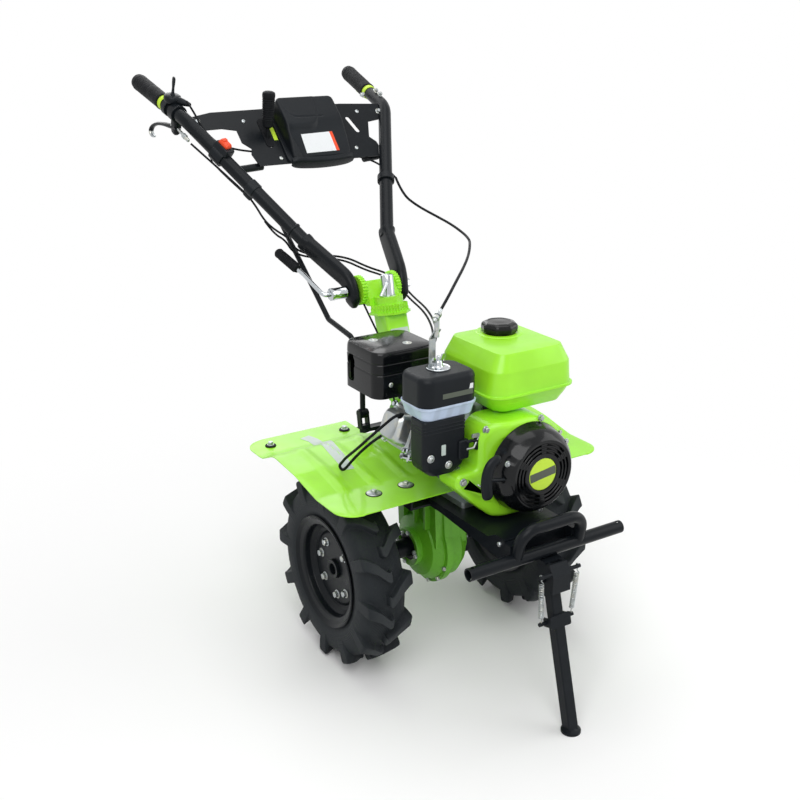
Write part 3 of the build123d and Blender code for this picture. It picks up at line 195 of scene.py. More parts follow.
def evened(line: Array, count: int) -> Array:
    """The same line with count points, evenly spaced along its length."""
    far = np.concatenate([[0], np.cumsum(np.linalg.norm(np.diff(line, axis=0), axis=1))])
    want = np.linspace(0, far[-1], count)
    return np.stack([np.interp(want, far, line[:, k]) for k in range(line.shape[1])], -1)


def curved(points: Sequence, count: int) -> Array:
    """A smooth line through points: on each span, the Catmull-Rom cubic of four points."""
    p = np.asarray(points, float)
    p = np.vstack([2 * p[0] - p[1], p, 2 * p[-1] - p[-2]])
    u = np.linspace(0, len(p) - 3, count)
    i = np.minimum(u.astype(int), len(p) - 4)
    t = (u - i)[:, None]
    a, b, c, d = p[i], p[i + 1], p[i + 2], p[i + 3]
    return 0.5 * (2 * b + (c - a) * t + (2 * a - 5 * b + 4 * c - d) * t**2 + (3 * b - a - 3 * c + d) * t**3)


def sweep(line: Array, profile: Array, hint: Array = vec(1, 0, 0)) -> Array:
    """A profile carried along a line.

    Each point is the line's point plus the profile's two parts times two directions
    square to the line. The first direction is hint, and each next one is the last one
    with its part along the line taken away, so that the profile doesn't twist.

    Args:
        line: Points, one a row.
        profile: One outline for the whole line, or one for each of its points.
        hint: Where the profile's x points at the start.

    Returns:
        A grid of points, line by profile.
    """
    way = np.gradient(line, axis=0)
    way /= np.linalg.norm(way, axis=1)[:, None]
    sides = np.empty_like(line)
    side = np.asarray(hint, float)
    for i, t in enumerate(way):
        side = unit(side - (side @ t) * t)
        sides[i] = side
    ups = np.cross(way, sides)
    shape = np.broadcast_to(profile, (len(line),) + profile.shape[-2:])
    return line[:, None] + sides[:, None] * shape[..., :1] + ups[:, None] * shape[..., 1:]


def lathe(profile: Sequence, place: Place, count: int = 48) -> Array:
    """A profile turned round a place's z: (radius cos t, radius sin t, height) for each angle t.

    Args:
        profile: Pairs of radius and height.
        place: The axis.
        count: Steps round the axis.

    Returns:
        A grid of points, profile by angle.
    """
    p = np.asarray(profile, float)
    t = np.arange(count) * TAU / count
    ring = np.stack([np.cos(t), np.sin(t)], -1)
    flat = p[:, None, :1] * ring[None]
    tall = np.broadcast_to(p[:, None, 1:], flat.shape[:2] + (1,))
    return place.at(np.concatenate([flat, tall], -1))


def stacked(
    outline: Callable[[float], Array], stations: Sequence[tuple[float, float]], place: Place
) -> Array:
    """Outlines laid one on another, each drawn in by its station's inset and set at its height.

    Args:
        outline: Gives the outline for an inset.
        stations: Pairs of height and inset.
        place: Where the outline lies.

    Returns:
        A grid of points, station by outline.
    """
    rows = []
    for height, inset in stations:
        flat = outline(inset)
        rows.append(np.concatenate([flat, np.full((len(flat), 1), height)], -1))
    return place.at(np.stack(rows))


def crown(
    low: float, high: float, round_low: float, round_high: float, steps: int = 5
) -> list[tuple[float, float]]:
    """Stations of a block with rounded rims, as pairs of height and inset.

    Along each quarter arc the inset is r(1 - cos a) and the height is r(1 - sin a) off the end.

    Args:
        low: The block's foot.
        high: Its top.
        round_low: The radius at the foot.
        round_high: The radius at the top.
        steps: Pieces in each arc.

    Returns:
        The stations from the foot to the top.
    """
    arc = np.linspace(math.pi / 2, 0, steps + 1)
    lower = [(low + round_low * (1 - math.sin(a)), round_low * (1 - math.cos(a))) for a in arc]
    upper = [(high - round_high * (1 - math.sin(a)), round_high * (1 - math.cos(a))) for a in arc[::-1]]
    return lower + upper


class Surface:
    """Grids of points gathered into one mesh."""

    def __init__(self) -> None:
        """Starts with nothing in it."""
        self.points: list[Array] = []
        self.faces: list[list[int]] = []
        self.count = 0

    def grid(self, points: Array, round_u: bool = False, cap: bool = False) -> "Surface":
        """Adds a grid of four-sided faces, whose last column joins the first.

        Args:
            points: Rows by columns by three.
            round_u: Whether the last row joins the first.
            cap: Whether the first and last rows are closed with a face.

        Returns:
            The surface itself.
        """
        rows, columns = points.shape[:2]
        ids = self.count + np.arange(rows * columns).reshape(rows, columns)
        if cap:
            self.faces.append(ids[0, ::-1].tolist())
            self.faces.append(ids[-1].tolist())
        if round_u:
            ids = np.vstack([ids, ids[:1]])
        ids = np.hstack([ids, ids[:, :1]])
        quads = np.stack([ids[:-1, :-1], ids[:-1, 1:], ids[1:, 1:], ids[1:, :-1]], -1)
        self.faces.extend(quads.reshape(-1, 4).tolist())
        self.points.append(points.reshape(-1, 3))
        self.count += rows * columns
        return self

    def solid(self, points: Array) -> "Surface":
        """Adds a tube of closed outlines with both ends shut."""
        return self.grid(points, cap=True)

    def build(
        self, name: str, finish: "Finish", body: str, slot: str, stands_for: Sequence[str] = (),
        sharp: float = 38
    ) -> bpy.types.Object:
        """Makes the object: doubles merged, normals outwards, edges over the sharp angle kept.

        Args:
            name: The piece's name.
            finish: Its finish.
            body: The body it rides on, or "" for none.
            slot: The record's material slot.
            stands_for: The nodes it is shown for.
            sharp: The angle past which an edge stays sharp, in degrees.

        Returns:
            The object.
        """
        mesh = bpy.data.meshes.new(name)
        mesh.from_pydata(metres(np.concatenate(self.points)).tolist(), [], self.faces)
        work = bmesh.new()
        work.from_mesh(mesh)
        bmesh.ops.remove_doubles(work, verts=work.verts, dist=2e-6)
        bmesh.ops.recalc_face_normals(work, faces=work.faces)
        work.to_mesh(mesh)
        work.free()
        mesh.shade_smooth()
        mesh.set_sharp_from_angle(angle=math.radians(sharp))
        made = bpy.data.objects.new(name, mesh)
        bpy.context.scene.collection.objects.link(made)
        mesh.materials.append(finish.material())
        if stands_for:
            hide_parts(*stands_for)
        if body:
            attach(made, body)
        log.info("%s: %d faces on %s", name, len(mesh.polygons), body or "two bodies")
        return made


class Value:
    """A number of a material, which does arithmetic by adding Math nodes."""

    def __init__(self, graph: "Graph", socket: bpy.types.NodeSocket) -> None:
        """Wraps an output socket of a graph."""
        self.graph = graph
        self.socket = socket

    def _math(self, operation: str, *others: Union["Value", Number], first: bool = True) -> "Value":
        """A Math node of this value and others, with this one first or last."""
        order = (self, *others) if first else (*others, self)
        made = self.graph.node("ShaderNodeMath", {"operation": operation}, dict(enumerate(order)))
        return Value(self.graph, made.outputs[0])

    def __add__(self, other: Union["Value", Number]) -> "Value":
        """self + other."""
        return self._math("ADD", other)

    __radd__ = __add__

    def __sub__(self, other: Union["Value", Number]) -> "Value":
        """self - other."""
        return self._math("SUBTRACT", other)

    def __rsub__(self, other: Union["Value", Number]) -> "Value":
        """other - self."""
        return self._math("SUBTRACT", other, first=False)

    def __mul__(self, other: Union["Value", Number]) -> "Value":
        """self * other."""
        return self._math("MULTIPLY", other)

    __rmul__ = __mul__

    def root(self) -> "Value":
        """The square root."""
        return self._math("SQRT")

    def sine(self) -> "Value":
        """The sine, of radians."""
        return self._math("SINE")

    def eased(self, low: float, high: float) -> "Value":
        """0 at low, 1 at high and an ease curve between."""
        settings = {"interpolation_type": "SMOOTHSTEP"}
        made = self.graph.node("ShaderNodeMapRange", settings, {0: self, 1: low, 2: high, 3: 0.0, 4: 1.0})
        return Value(self.graph, made.outputs[0])


Input = Union[Value, bpy.types.NodeSocket, Number, Sequence[float]]


class Graph:
    """The nodes of one material."""

    def __init__(self, name: str) -> None:
        """Makes a material with only an output node."""
        self.material = bpy.data.materials.new(name)
        self.material.use_nodes = True
        self.tree = self.material.node_tree
        self.tree.nodes.clear()
        self.output = self.node("ShaderNodeOutputMaterial")
        self.spot = self.node("ShaderNodeTexCoord").outputs["Object"]

    def node(
        self, kind: str, settings: Optional[Mapping[str, object]] = None,
        sockets: Optional[Mapping[Union[int, str], Input]] = None
    ) -> bpy.types.Node:
        """Adds a node.

        Args:
            kind: The node's type.
            settings: Its settings, set first. The key "stops" holds a ramp's stops.
            sockets: Values or links, by the input's name or number.

        Returns:
            The node.
        """
        made = self.tree.nodes.new(kind)
        for key, value in (settings or {}).items():
            if key == "stops":
                ramp = made.color_ramp.elements
                while len(ramp) > 1:
                    ramp.remove(ramp[-1])
                for i, (at, colour) in enumerate(value):
                    stop = ramp[0] if i == 0 else ramp.new(at)
                    stop.position, stop.color = at, (*colour, 1)
            else:
                setattr(made, key, value)
        for key, value in (sockets or {}).items():
            source = value.socket if isinstance(value, Value) else value
            if isinstance(source, bpy.types.NodeSocket):
                self.tree.links.new(source, made.inputs[key])
            else:
                made.inputs[key].default_value = source
        return made

    def noise(
        self, scale: float, detail: float = 2, rough: float = 0.5, stretch: Colour = (1, 1, 1),
        warp: float = 0
    ) -> Value:
        """Smooth noise, scale times a metre, from 0 to 1."""
        where = self.spot
        if stretch != (1, 1, 1):
            where = self.node("ShaderNodeMapping", None, {0: where, 3: stretch}).outputs[0]
        made = self.node(
            "ShaderNodeTexNoise", None,
            {"Vector": where, "Scale": scale, "Detail": detail, "Roughness": rough, "Distortion": warp}
        )
        return Value(self, made.outputs[0])

    def cells(self, scale: float, feature: str = "F1") -> Value:
        """Distance to the nearest of scattered points, scale times a metre."""
        made = self.node("ShaderNodeTexVoronoi", {"feature": feature}, {"Vector": self.spot, "Scale": scale})
        return Value(self, made.outputs[0])

    def parts(self) -> tuple[Value, Value, Value]:
        """The three parts of the place on the object, in metres."""
        made = self.node("ShaderNodeSeparateXYZ", None, {0: self.spot})
        return tuple(Value(self, out) for out in made.outputs)

    def upward(self) -> Value:
        """How much the surface faces up, from -1 to 1."""
        normal = self.node("ShaderNodeNewGeometry").outputs["Normal"]
        return Value(self, self.node("ShaderNodeSeparateXYZ", None, {0: normal}).outputs[2])

    def mix(self, share: Input, a: Input, b: Input) -> bpy.types.NodeSocket:
        """A colour between a and b."""
        a = (*a, 1) if isinstance(a, tuple) else a
        b = (*b, 1) if isinstance(b, tuple) else b
        made = self.node("ShaderNodeMix", {"data_type": "RGBA"}, {0: share, 6: a, 7: b})
        return made.outputs[2]

    def bump(
        self, height: Value, depth: float, strength: float = 1.0, below: Optional[bpy.types.NodeSocket] = None
    ) -> bpy.types.NodeSocket:
        """A Bump node: the height times depth, in metres, over another bump."""
        sockets: dict[Union[int, str], Input] = {"Strength": strength, "Distance": depth, "Height": height}
        if below is not None:
            sockets["Normal"] = below
        return self.node("ShaderNodeBump", None, sockets).outputs[0]

    def skin(self, sockets: Mapping[Union[int, str], Input]) -> bpy.types.Node:
        """The material's shader, joined to its output."""
        made = self.node("ShaderNodeBsdfPrincipled", None, sockets)
        self.tree.links.new(made.outputs[0], self.output.inputs[0])
        return made


class Kind(Enum):
    """The surfaces that the machine's pieces have."""

    ENAMEL = "enamel"
    CAST = "cast"
    POWDER = "powder"
    TREAD = "tread"
    GRIP = "grip"
    GRAIN = "grain"
    GLOSS = "gloss"
    MILKY = "milky"
    PLATED = "plated"
    CHROME = "chrome"
    RAW = "raw"
    LABEL = "label"


@dataclass(frozen=True)
class Finish:
    """One finish: its colour, its gloss and the detail of its kind."""

    name: str
    kind: Kind
    colour: Colour
    rough: float
    coat: float = 0.0
    shine: float = 0.5
    made: dict = field(default_factory=dict, compare=False, repr=False)

    def material(self) -> bpy.types.Material:
        """The finish's material, made once."""
        if not self.made:
            graph = Graph(self.name)
            getattr(self, "_" + self.kind.value)(graph)
            self.made["material"] = graph.material
        return self.made["material"]

    def tint(self, share: float) -> Colour:
        """The colour with each part times share."""
        return tuple(c * share for c in self.colour)

    def _enamel(self, g: Graph) -> None:
        """Sprayed enamel: orange peel, slow shifts of hue and a little dust on what faces up."""
        cloud = g.noise(9, 3)
        tone = g.mix(cloud.eased(0.35, 0.7), self.tint(0.93), self.tint(1.06))
        dust = g.upward().eased(0.5, 1.0) * g.noise(140, 4, 0.65).eased(0.5, 0.85)
        tone = g.mix(dust * 0.07, tone, (0.45, 0.45, 0.38))
        peel = g.bump(g.noise(420, 2, 0.4), 0.00022, 0.35)
        rough = g.noise(35, 3).eased(0.3, 0.75) * 0.09 + (self.rough + dust * 0.12)
        g.skin({
            "Base Color": tone, "Roughness": rough, "Normal": peel, "Coat Weight": self.coat,
            "Coat Roughness": 0.08, "Specular IOR Level": self.shine
        })

    def _cast(self, g: Graph) -> None:
        """Enamel on a sand casting: a grainy skin, with painted shade that darkens its pits."""
        grain = g.noise(620, 5, 0.62)
        lumps = g.noise(120, 3, 0.5)
        pits = (1 - grain).eased(0.48, 0.75)
        # painted shade: the pits of the grain are mixed towards a darker tint
        tone = g.mix(pits * 0.45, self.tint(1.05), self.tint(0.55))
        tone = g.mix(g.noise(14, 2).eased(0.4, 0.75) * 0.35, tone, self.tint(0.7))
        skin = g.bump(lumps, 0.0011, 0.5, g.bump(grain, 0.0006, 0.65))
        g.skin({
            "Base Color": tone, "Roughness": pits * 0.2 + self.rough, "Normal": skin,
            "Coat Weight": self.coat, "Coat Roughness": 0.2, "Specular IOR Level": self.shine
        })

    def _powder(self, g: Graph) -> None:
        """Powder coat: fine pebbling, rubbed patches and a few pale scuffs."""
        pebble = g.bump(g.noise(900, 2, 0.5), 0.00018, 0.5)
        rubbed = g.noise(28, 4, 0.6).eased(0.5, 0.75)
        scuff = g.noise(60, 6, 0.7, (1, 1, 0.22)).eased(0.66, 0.74)
        tone = g.mix(rubbed * 0.5, self.colour, self.tint(1.7))
        tone = g.mix(scuff * 0.22, tone, (0.07, 0.075, 0.08))
        g.skin({
            "Base Color": tone, "Roughness": self.rough - rubbed * 0.1 + scuff * 0.2, "Normal": pebble,
            "Coat Weight": self.coat, "Coat Roughness": 0.25, "Specular IOR Level": self.shine
        })

    def _tread(self, g: Graph) -> None:
        """Tyre rubber: rings pressed into the side wall, mould grain, clouds of dust, and lug tops a lighter
        grey.
        """
        x, y, z = g.parts()
        back, rise = y - float(AXLE[1] * MM), z - float(AXLE[2] * MM)
        far = (back * back + rise * rise).root()
        side = 1 - far.eased(0.168, 0.178)
        rings = (far * (TAU / 0.0042)).sine() * side * (far.eased(0.138, 0.142) - far.eased(0.158, 0.162))
        grain = g.noise(700, 3, 0.6)
        weave = ((x * 1400).sine() * ((back + rise) * 1400).sine()).eased(-0.2, 0.6)
        weave = weave * far.eased(0.184, 0.187) * (1 - far.eased(0.196, 0.2))
        dust = g.noise(45, 5, 0.62).eased(0.5, 0.8)
        tone = g.mix(dust * 0.4, self.colour, (0.034, 0.038, 0.041))
        # the lug tops, past 200 mm from the axle, are mixed towards a lighter grey
        tone = g.mix(far.eased(0.2, 0.206) * 0.4, tone, (0.05, 0.055, 0.058))
        skin = g.bump(weave, 0.0006, 0.5, g.bump(rings, 0.0006, 0.5, g.bump(grain, 0.0004, 0.5)))
        g.skin({
            "Base Color": tone, "Roughness": self.rough + dust * 0.12, "Normal": skin,
            "Specular IOR Level": self.shine
        })

    def _grip(self, g: Graph) -> None:
        """Soft rubber: a fine matt grain, shinier where hands have rubbed it."""
        grain = g.bump(g.cells(1500), 0.0002, 0.5)
        rubbed = g.noise(40, 3).eased(0.45, 0.75)
        g.skin({
            "Base Color": g.mix(rubbed * 0.5, self.colour, self.tint(1.6)),
            "Roughness": self.rough - rubbed * 0.15, "Normal": grain, "Specular IOR Level": self.shine
        })

    def _grain(self, g: Graph) -> None:
        """Moulded plastic: a spark-eroded texture with faint clouds and a little dust on top."""
        fine = g.bump(g.cells(1100), 0.00022, 0.45, g.bump(g.noise(300, 2), 0.0003, 0.2))
        cloud = g.noise(18, 3).eased(0.4, 0.75)
        dust = g.upward().eased(0.6, 1.0) * g.noise(220, 5, 0.7).eased(0.52, 0.8)
        tone = g.mix(dust * 0.07, g.mix(cloud * 0.4, self.colour, self.tint(1.6)), (0.12, 0.13, 0.14))
        g.skin({
            "Base Color": tone, "Roughness": self.rough + dust * 0.2 - cloud * 0.06, "Normal": fine,
            "Specular IOR Level": self.shine
        })

    def _gloss(self, g: Graph) -> None:
        """Polished plastic: faint ripples from the mould and fingermarks in its gloss."""
        ripple = g.bump(g.noise(70, 2), 0.0005, 0.12)
        marks = g.noise(55, 5, 0.6, warp=1.2).eased(0.5, 0.75)
        tone = g.mix(marks * 0.3, self.colour, self.tint(1.8))
        g.skin({
            "Base Color": tone, "Roughness": marks * 0.12 + self.rough, "Normal": ripple,
            "Coat Weight": self.coat, "Coat Roughness": 0.05, "Specular IOR Level": self.shine
        })

    def _milky(self, g: Graph) -> None:
        """Milky plastic: cloudy, with darker bands where the filter shows through."""
        x, y, _ = g.parts()
        bands = ((x + y * 0.6) * 210).sine().eased(-0.6, 0.9)
        cloud = g.noise(30, 3).eased(0.35, 0.75)
        tone = g.mix(bands * 0.35 + cloud * 0.2, self.colour, self.tint(0.62))
        ripple = g.bump(g.noise(160, 2), 0.0003, 0.2)
        g.skin({
            "Base Color": tone, "Roughness": cloud * 0.1 + self.rough, "Normal": ripple,
            "Coat Weight": self.coat, "Subsurface Weight": 0.0
        })

    def _plated(self, g: Graph) -> None:
        """Zinc plate: a bluish metal, streaked with a faint yellow, with fine scratches."""
        streak = g.noise(90, 4, 0.6, warp=0.8)
        tone = g.mix(streak.eased(0.45, 0.7) * 0.5, self.colour, (0.66, 0.62, 0.48))
        scratch = g.bump(g.noise(500, 3, 0.6, (1, 1, 0.15)), 0.00015, 0.3)
        g.skin({
            "Base Color": tone, "Roughness": streak * 0.2 + self.rough, "Metallic": 0.92, "Normal": scratch
        })

    def _chrome(self, g: Graph) -> None:
        """Chrome plate: bright, with a haze of fingermarks."""
        haze = g.noise(80, 4, 0.6).eased(0.5, 0.8)
        ripple = g.bump(g.noise(120, 2), 0.0002, 0.15)
        g.skin({
            "Base Color": g.mix(haze * 0.3, self.colour, self.tint(0.8)),
            "Roughness": haze * 0.15 + self.rough, "Metallic": 1.0, "Normal": ripple
        })

    def _raw(self, g: Graph) -> None:
        """Die-cast aluminium: a dull grainy metal with darker stains."""
        grain = g.noise(800, 4, 0.6)
        stain = g.noise(40, 4, 0.65).eased(0.45, 0.8)
        tone = g.mix(stain * 0.5, self.colour, self.tint(0.55))
        skin = g.bump(g.noise(150, 2), 0.0006, 0.3, g.bump(grain, 0.0003, 0.5))
        g.skin({"Base Color": tone, "Roughness": stain * 0.15 + self.rough, "Metallic": 0.85, "Normal": skin})

    def _label(self, g: Graph) -> None:
        """A blank film label: nearly even, with a faint mottle and a satin skin."""
        mottle = g.noise(260, 3).eased(0.4, 0.8)
        ripple = g.bump(g.noise(400, 2), 0.0001, 0.3)
        g.skin({
            "Base Color": g.mix(mottle * 0.25, self.colour, self.tint(0.86)),
            "Roughness": mottle * 0.1 + self.rough, "Normal": ripple
        })


LIME = Finish("lime enamel", Kind.ENAMEL, (0.33, 0.79, 0.022), 0.3, 0.2, 0.42)
LIME_CAST = Finish("lime enamel on casting", Kind.CAST, (0.12, 0.40, 0.016), 0.42, 0.08, 0.35)
BLACK = Finish("black powder coat", Kind.POWDER, (0.0068, 0.0088, 0.0112), 0.42, 0.0, 0.14)
SATIN_RIM = Finish("satin black rim paint", Kind.POWDER, (0.0058, 0.0075, 0.0095), 0.36, 0.0, 0.16)
TYRE = Finish("tyre rubber", Kind.TREAD, (0.0125, 0.0158, 0.0185), 0.66, 0.0, 0.22)
SOFT = Finish("soft black rubber", Kind.GRIP, (0.0055, 0.0062, 0.0076), 0.62, 0.0, 0.12)
MOULDED = Finish("moulded black plastic", Kind.GRAIN, (0.0062, 0.0082, 0.0106), 0.38, 0.0, 0.16)
SMOOTH = Finish("glossy black plastic", Kind.GLOSS, (0.0035, 0.0042, 0.005), 0.16, 0.1, 0.22)
PIANO = Finish("glossy black enamel", Kind.GLOSS, (0.0055, 0.0072, 0.0092), 0.3, 0.0, 0.14)
BOWL = Finish("milky plastic", Kind.MILKY, (0.5, 0.6, 0.76), 0.3, 0.1)
ZINC = Finish("zinc plate", Kind.PLATED, (0.42, 0.45, 0.46), 0.26)
BRIGHT = Finish("chrome plate", Kind.CHROME, (0.5, 0.53, 0.55), 0.12)
ALLOY = Finish("die-cast aluminium", Kind.RAW, (0.4, 0.43, 0.45), 0.4)
ACID = Finish("yellow green plastic", Kind.LABEL, (0.55, 0.8, 0.035), 0.38)
RED = Finish("orange red plastic", Kind.GLOSS, (0.78, 0.07, 0.016), 0.34, 0.05, 0.3)
WHITE = Finish("blank white label", Kind.LABEL, (0.74, 0.76, 0.78), 0.4)
SILVER = Finish("blank silver label", Kind.LABEL, (0.5, 0.58, 0.54), 0.3)
GREY = Finish("grey label band", Kind.LABEL, (0.07, 0.085, 0.06), 0.35)

DRESS: dict[str, Finish] = {
    "green_paint": LIME,
    "cast_green": LIME_CAST,
    "black_paint": BLACK,
    "tyre_rubber": TYRE,
    "grip_rubber": SOFT,
    "black_plastic": MOULDED,
    "gloss_black": SMOOTH,
    "clear_bowl": BOWL,
    "zinc": ZINC,
    "chrome": BRIGHT,
    "aluminium": ALLOY,
    "yellow_green": ACID,
    "red_plastic": RED,
}


class Studio:
    """The camera of the photograph, soft lamps and a plain pale floor."""

    middle: tuple[float, float, float] = (0, -0.1, 0.5)
    sky: float = 0.42
    floor_half: float = 40.0
    lens: float = 50.3
    stand: Array = np.array([-1.2768, -2.0532, 1.3773])
    azimuth: float = -32.39
    elevation: float = 20.164

    def camera(self) -> None:
        """Puts the camera where the photograph was taken from."""
        a, e = math.radians(self.azimuth), math.radians(self.elevation)
        back = Vector((math.sin(a) * math.cos(e), -math.cos(a) * math.cos(e), math.sin(e)))
        right = Vector((math.cos(a), math.sin(a), 0))
        up = back.cross(right)
        turn = Matrix((right, up, back)).transposed()
        data = bpy.data.cameras.new("camera")
        data.lens, data.sensor_width = self.lens, 36.0
        data.clip_start, data.clip_end = 0.05, 200
        camera = bpy.data.objects.new("camera", data)
        camera.matrix_world = Matrix.Translation(Vector(self.stand)) @ turn.to_4x4()
        bpy.context.scene.collection.objects.link(camera)
        bpy.context.scene.camera = camera

    def lamp(
        self, name: str, spot: Sequence[float], size: float, power: float, colour: Colour = (1, 1, 1)
    ) -> None:
        """A square soft lamp that looks at the machine's middle.

        Args:
            name: The lamp's name.
            spot: Where it stands, in metres.
            size: Its side, in metres.
            power: Its power, in watts.
            colour: Its colour.
        """
        data = bpy.data.lights.new(name, "AREA")
        data.shape, data.size, data.energy, data.color = "SQUARE", size, power, colour
        made = bpy.data.objects.new(name, data)
        way = Vector(spot) - Vector(self.middle)
        aim = way.to_track_quat("Z", "Y").to_matrix().to_4x4()
        made.matrix_world = Matrix.Translation(Vector(spot)) @ aim
        bpy.context.scene.collection.objects.link(made)

    def world(self) -> None:
        """A pale even sky, plain white where the camera, gloss and glass see it."""
        world = bpy.data.worlds.new("sky")
        world.use_nodes = True
        tree = world.node_tree
        tree.nodes.clear()
        rays = tree.nodes.new("ShaderNodeLightPath")
        seen = rays.outputs["Is Camera Ray"]
        for kind in ("Is Glossy Ray", "Is Transmission Ray"):
            either = tree.nodes.new("ShaderNodeMath")
            either.operation = "MAXIMUM"
            tree.links.new(seen, either.inputs[0])
            tree.links.new(rays.outputs[kind], either.inputs[1])
            seen = either.outputs[0]
        strength = tree.nodes.new("ShaderNodeMapRange")
        tree.links.new(seen, strength.inputs[0])
        strength.inputs[3].default_value, strength.inputs[4].default_value = self.sky, 1.0
        sky = tree.nodes.new("ShaderNodeBackground")
        sky.inputs[0].default_value = (1, 1, 1, 1)
        tree.links.new(strength.outputs[0], sky.inputs[1])
        out = tree.nodes.new("ShaderNodeOutputWorld")
        tree.links.new(sky.outputs[0], out.inputs[0])
        bpy.context.scene.world = world

    def floor(self) -> None:
        """A wide pale floor that keeps the machine's shadow and turns white away from it."""
        g = Graph("pale floor")
        x, y, _ = g.parts()
        far = (x * x + (y + 0.1) * (y + 0.1)).root()
        paint = g.node(
            "ShaderNodeBsdfPrincipled", None,
            {"Base Color": (0.93, 0.93, 0.93, 1), "Roughness": 0.85, "Specular IOR Level": 0.1}
        )
        white = g.node("ShaderNodeEmission", None, {0: (1, 1, 1, 1), 1: 1.0})
        rays = g.node("ShaderNodeLightPath")
        seen = Value(g, rays.outputs["Is Camera Ray"]) + Value(g, rays.outputs["Is Glossy Ray"])
        share = seen * far.eased(0.55, 1.5)
        mixed = g.node("ShaderNodeMixShader", None, {0: share, 1: paint.outputs[0], 2: white.outputs[0]})
        g.tree.links.new(mixed.outputs[0], g.output.inputs[0])
        mesh = bpy.data.meshes.new("floor")
        r = self.floor_half
        mesh.from_pydata([(-r, -r, 0), (r, -r, 0), (r, r, 0), (-r, r, 0)], [], [(0, 1, 2, 3)])
        mesh.materials.append(g.material)
        floor = bpy.data.objects.new("floor", mesh)
        bpy.context.scene.collection.objects.link(floor)

    def build(self) -> None:
        """Sets up the whole studio."""
        self.camera()
        self.world()
        self.floor()
        self.lamp("key", (-1.6, -2.2, 2.9), 2.4, 62)
        self.lamp("fill", (2.6, -1.6, 1.9), 2.6, 34)
        self.lamp("rim", (0.4, 2.6, 2.6), 2.4, 36)
        self.lamp("top", (0, -0.1, 3.4), 2.2, 26)


def sheet_line(line: Array, thick: float) -> Array:
    """The outline of a sheet in section: its line moved out by half its thickness, to either side."""
    way = np.gradient(line, axis=0)
    way /= np.linalg.norm(way, axis=1)[:, None]
    side = np.stack([-way[:, 1], way[:, 0]], -1) * thick / 2
    return np.concatenate([line + side, (line - side)[::-1]])


def hex_head(
    made: Surface, place: Place, across: float = 13.0, high: float = 7.0, washer: float = 0.0
) -> None:
    """A hexagon head with a chamfered crown, on a washer if one is given.

    Args:
        made: The surface it joins.
        place: Where it sits, with z out of the face.
        across: The distance across its flats.
        high: The head's height.
        washer: The washer's radius.
    """
    foot = 0.0
    if washer:
        ring = [(washer, -0.6), (washer, 1.1), (washer - 0.6, 1.6), (across * 0.3, 1.6)]
        made.solid(lathe(ring, place, 20))
        foot = 1.5
    r = across / math.sqrt(3)
    flat = circle(r, 6, 15)
    levels = ((1, foot), (1, foot + high * 0.82), (0.88, foot + high), (0.4, foot + high * 1.02))
    rows = [np.c_[flat * k, np.full(6, h)] for k, h in levels]
    made.solid(place.at(np.stack(rows)))


def round_head(made: Surface, place: Place, radius: float = 5.0, high: float = 3.0) -> None:
    """A domed screw head: radius r cos a and height h sin a, then down into its socket."""
    a = np.linspace(0, math.pi / 2 * 0.72, 5)
    dome = [(radius, -0.5)] + [(radius * math.cos(t), high * math.sin(t)) for t in a]
    hole = [(radius * 0.32, high * 0.92), (radius * 0.3, high * 0.45), (0.05, high * 0.4)]
    made.solid(lathe(dome + hole, place, 14))


